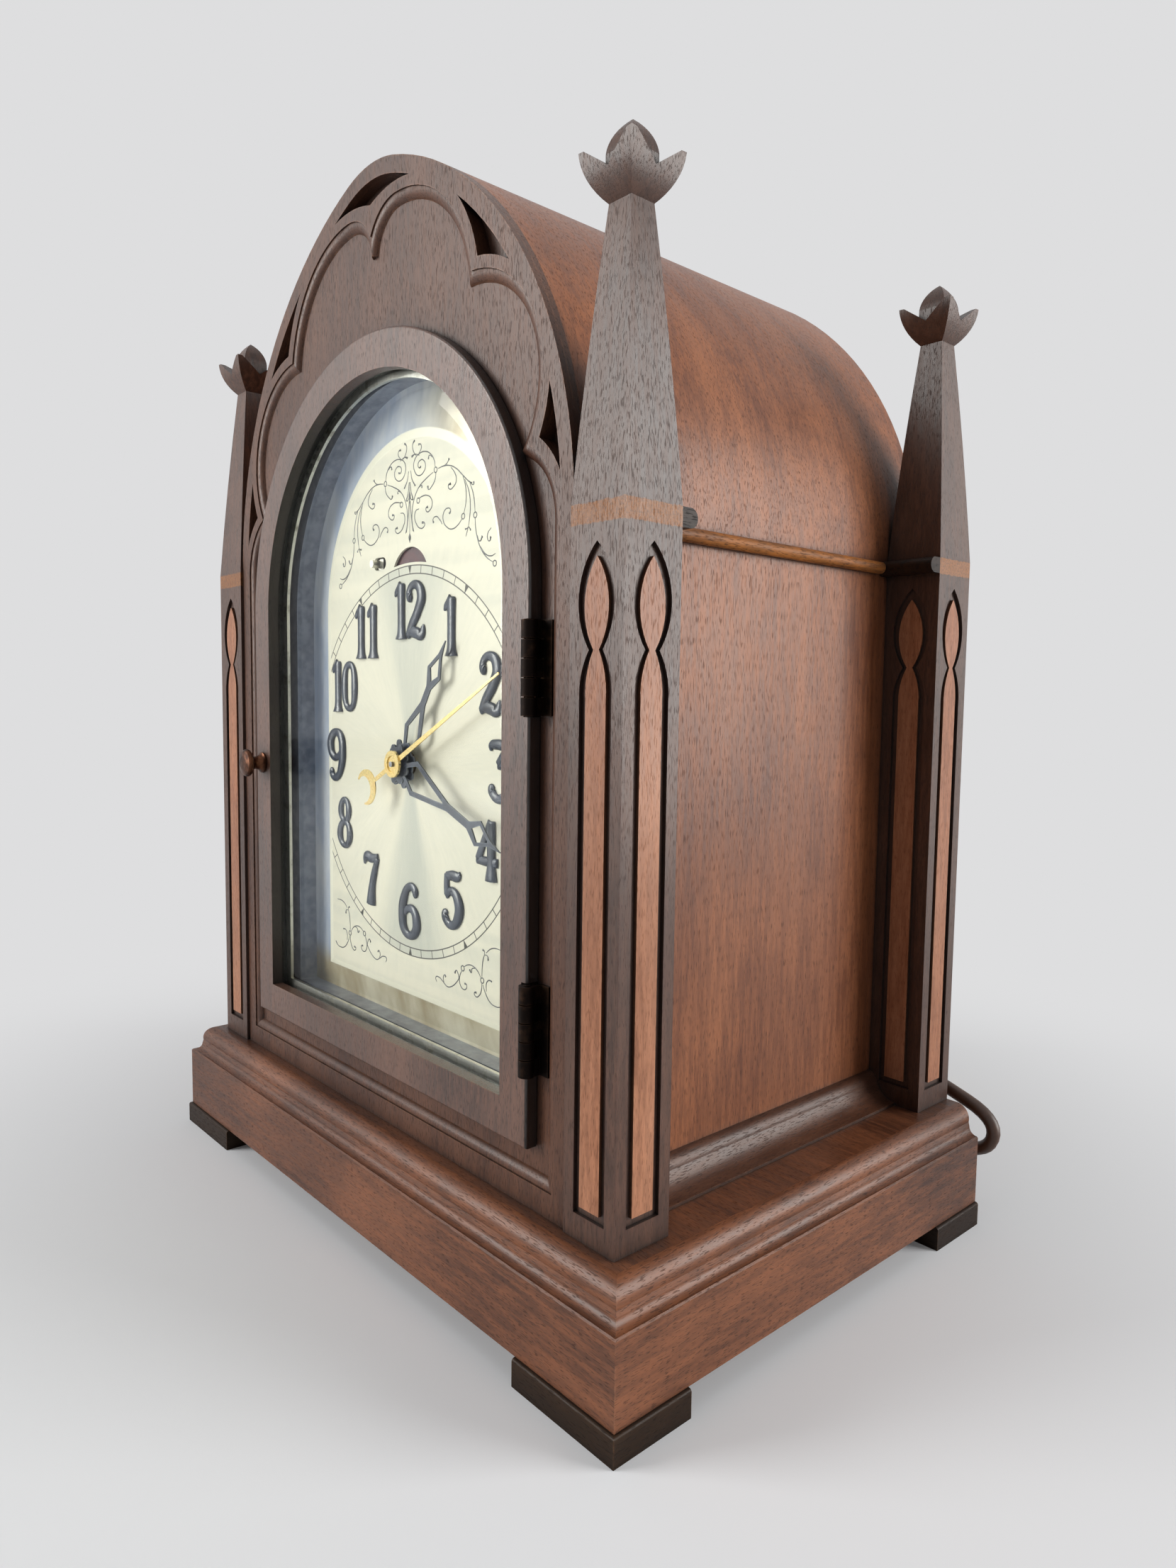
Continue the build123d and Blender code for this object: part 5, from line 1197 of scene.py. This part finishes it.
@dataclass
class DialFace:
    """Silvered dial with its numerals, scrolls, hands, lever and flag."""

    hours: tuple[tuple[str, float, float], ...] = (
        ("12", 0.0, 224.4), ("1", 26.4, 217.7), ("2", 48.2, 198.4), ("3", 54.0, 170.4), ("4", 47.6, 144.0),
        ("5", 27.1, 124.6), ("6", 0.0, 116.2), ("7", -27.0, 124.4), ("8", -47.6, 144.0), ("9", -54.0, 170.6),
        ("10", -47.0, 197.6), ("11", -28.7, 218.0),
    )
    pair_left: float = -5.2
    pair_right: float = 3.8
    upper: tuple[Stroke, ...] = tendrils(
        (0.12, 2.7, 251.7, 1.6, 255.1, 1.5, 258.1, 2.7, 262.5, 5.6, 266.3, 10.4, 268.8, 14.9, 270.3),
        (0.3, 18, 271.1, 20.8, 271.4, 24.5, 271.1, 28.6, 269.5, 32.6, 266.6, 35.8, 264.3, 37.6, 263.4),
        (0.4, 36.5, 264, 38.5, 262.9, 38.6, 263.8),
        (0.45, 20, 271.3, 22.8, 271.8, 24, 272.7, 24.5, 273.4),
        (0.35, 16.1, 272, 15.5, 274.3, 13.3, 276.7, 10, 278.1, 6.4, 278, 3.7, 276.8, 2.6, 274.7, 3.3, 272.3,
         5.7, 270.6, 8.9, 271.3, 10.1, 273.3, 8.9, 275.3, 6.8, 275.6, 5.4, 274.4, 6, 273.2, 7.3, 273.4),
        (0.35, 14.4, 275.5, 12.4, 276.3, 11.9, 275.2),
        (0.4, 6, 278.1, 7.5, 279.7, 7.2, 280.9, 5.8, 281.2),
        (0.4, 4.1, 277.6, 2.2, 279.9, 2, 281.8, 3.3, 283),
        (0.4, 6.2, 277.4, 3.3, 278.2, 1.4, 277.7),
        (0.45, 16.6, 269.9, 16, 267.7, 14.1, 265.8, 12.1, 265, 11.5, 266.1),
        (0.35, 6, 266.5, 7.8, 266.9, 7.8, 266.1),
        (0.45, 25.6, 270.3, 28, 267.9, 28.7, 265.6, 27, 263.7, 24.8, 263.3, 24, 264.5, 25.5, 265),
        (0.12, 32.6, 266.3, 34.1, 262.6, 34.3, 258, 33.1, 254.3),
        (0.12, 33.6, 265.2, 36, 260.9, 36.7, 256.4, 36.3, 252.2, 35.7, 249.7),
        (0.12, 35.7, 249.7, 35, 248.2, 34.3, 246.7),
        (0.35, 35.7, 249.7, 34.9, 249.2, 33.9, 249.1),
        (0.35, 35.7, 249.7, 36.5, 249.1, 37, 248.4),
        (0.12, 36.5, 263.6, 38.2, 260.3, 39.1, 256.8, 39.4, 253.8),
        (0.45, 32.1, 252.7, 29.8, 251, 26.5, 250, 23.2, 251, 21, 253.5, 21.3, 256, 23.6, 257.2, 25.4, 256.3,
         24.7, 255.2),
        (0.4, 20.4, 252.3, 19.1, 253.8, 16.6, 255.3, 14.8, 254.4, 15.2, 253.3),
        (0.12, 39.4, 252.1, 39.7, 249.1, 40.7, 245.6, 42.5, 242.2, 45.7, 239, 49.1, 237.1),
        (0.4, 40.6, 246.4, 42.1, 244.4, 43.5, 245.8),
        (0.12, 42.4, 242.6, 45.4, 239.9, 48.3, 239.1, 50.6, 239.6),
        (0.4, 48.2, 247.9, 46.5, 246.5, 46.3, 244.7, 47.4, 243.9, 48, 245.2),
        (0.45, 5.7, 262.7, 8.1, 263.2, 10.8, 263.2, 13.7, 261.7, 14.3, 259.6, 12.9, 257.9, 11, 257.6, 10.4, 258.8,
         11.6, 259.2),
        (0.45, 6, 259.2, 3.9, 258.7, 3.2, 256.7, 4.1, 254.5, 6.4, 252.6, 8.9, 252.6, 9.6, 253.8, 8.1, 254.3),
        (0.3, 0.7, 273, 1.5, 270, 3.6, 267.4),
        (0.3, 0.4, 269.1, 1, 265.6, 2, 263.5),
        (0.35, 0.1, 264.3, 1.5, 262.9, 2.3, 263.2),
        (0.3, 0.4, 262.6, 1, 257.4, 2.3, 252),
    ) + (ring(16.4, 270.9), ring(32.7, 253.4), ring(39.5, 253), ring(50.2, 236.6), ring(5.5, 262.1))
    lower: tuple[Stroke, ...] = tendrils(
        (0.12, 17.3, 93.7, 16.7, 95.1, 19, 95.6, 21.6, 94.4, 23.9, 93.4, 26.7, 94.1, 29.6, 96.2, 31.1, 98, 31.9, 99.7,
         32.7, 100.9),
        (0.4, 21.9, 94.3, 21.4, 95.9, 22.3, 97.2, 23, 96.6),
        (0.4, 31, 97.8, 30.4, 99.4, 29.4, 100.3, 28.5, 99.2),
        (0.4, 31.8, 99.6, 31.3, 97.4, 31.9, 95.6, 33.6, 94.6, 35.4, 95.3, 35.5, 96.5, 34.4, 96.8),
        (0.12, 34.1, 102.6, 36.2, 103.6, 39, 103.8, 41.8, 102.7, 43.7, 100.8),
        (0.4, 40.3, 103.3, 38.6, 102.7, 38.2, 101.4, 37.2, 102.2),
        (0.4, 44.3, 99, 44.1, 96.8, 42.8, 94.5, 41, 93.7, 40, 94.7, 41.2, 95.2),
        (0.3, 44.8, 98.7, 46.3, 96.1, 48.9, 93.6, 51.7, 92.9, 54.5, 93.3, 56.2, 94.6),
        (0.3, 46.8, 96.8, 46.9, 99.6, 48.1, 100.8, 49.9, 100.8),
        (0.12, 44.3, 101.3, 44.5, 104.9, 45.1, 107.6, 45.8, 109.2),
        (0.4, 45.8, 109, 47.4, 108.8, 47.8, 107.4),
        (0.4, 45.8, 109.2, 45.6, 110.1, 44.7, 110.5),
        (0.12, 46.7, 109.8, 48.8, 111.4, 51.4, 112.2, 54.5, 112.2),
    ) + (ring(33.2, 101.8), ring(44.5, 100))
    axis: Stroke = Stroke((
        (0, 248.2, 0.12), (0, 250, 0.7), (0, 251.6, 0.15), (0, 262.6, 0.2), (0, 264.2, 0.6), (0, 266, 0.2),
        (0, 269.2, 0.12),
    ))

    def build(self) -> None:
        """Raise the numerals and scrolls and dress the dial."""
        SilveredDial().dress("dial_plate")
        paint = SatinPaint("blue_paint", tint(66, 74, 90), tint(46, 52, 66), tint(146, 156, 168)).dress(
            "dial_numerals", "hour_hand", "minute_hand")
        numerals = RaisedStrokes("raised_numerals").build(self.numeral_strokes(), paint)
        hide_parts("dial_numerals")
        ink = SatinPaint("scroll_ink", tint(78, 80, 82), tint(56, 58, 62), tint(120, 122, 122), 0.2).make()
        half = list(self.upper + self.lower)
        mirrored = [stroke.moved(0.0, 0.0, wide=-1.0) for stroke in half]
        RaisedStrokes("dial_scrolls", lift=0.02, rise=0.4).build(half + mirrored + [self.axis], ink)
        AgedMetal("hand_brass", tint(242, 216, 152), tint(196, 160, 92), 0.25, 0.26).dress("seconds_hand")
        AgedMetal("lever_nickel", tint(210, 208, 200), tint(140, 134, 122), 0.3).dress("chime_lever")
        SatinPaint("flag_red", tint(92, 40, 48), tint(60, 28, 40), tint(150, 80, 84)).dress("power_flag")

    def numeral_strokes(self) -> list[Stroke]:
        """Set out the strokes of the twelve hours.

        Returns:
            Every stroke at its place on the dial.
        """
        strokes: list[Stroke] = []
        for word, x, z in self.hours:
            shifts = (0.0,) if len(word) == 1 else (self.pair_left, self.pair_right)
            for digit, shift in zip(word, shifts):
                strokes += [stroke.moved(x + shift, z) for stroke in DIGITS[digit]]
        return strokes


@dataclass
class ClockWorks:
    """Electric going train and chime work inside the case."""

    brushed: Point = (1.0, 1.0, 0.05)
    wound: Point = (1.0, 0.2, 1.0)

    def build(self) -> None:
        """Dress the works."""
        AgedMetal("plate_brass", tint(206, 170, 96), tint(142, 108, 56), 0.4, 0.32, self.brushed).dress(
            "movement_front_plate", "movement_back_plate", "minute_arbor", "hour_wheel", "minute_wheel",
            "intermediate_wheel", "chime_drum",
        )
        AgedMetal("works_steel", tint(176, 178, 182), tint(104, 102, 104), 0.35, 0.3).dress(
            "frame_pillars", "machine_screws", "set_arbor", "seconds_arbor", "field_core", "hammer_frame",
        )
        MouldedStuff("coil_wrap", tint(92, 58, 36), tint(58, 36, 24), 0.45, 1.8, self.wound).dress("field_coil")
        AgedMetal("rotor_copper", tint(190, 122, 84), tint(112, 66, 46), 0.4).dress("rotor_can")
        AgedMetal("cast_iron", tint(84, 82, 82), tint(46, 44, 44), 0.7, 0.5).dress("rod_block")
        AgedMetal("rod_bronze", tint(196, 156, 92), tint(130, 96, 52), 0.35, 0.28).dress("chime_rods")
        AgedMetal("hammer_brass", tint(200, 164, 92), tint(138, 104, 54), 0.35).dress(
            "hammer_1", "hammer_2", "hammer_3", "hammer_4",
        )


def main() -> None:
    """Build the studio and dress the clock, piece by piece."""
    logging.basicConfig(level=logging.INFO)
    for group in (
        Studio(), MainsLead(), CaseWork(), CornerPosts(), FrontDoor(), BackDoor(), DialFace(), ClockWorks(),
    ):
        group.build()
        LOG.info("finished %s", type(group).__name__)


if __name__ == "__main__":
    main()
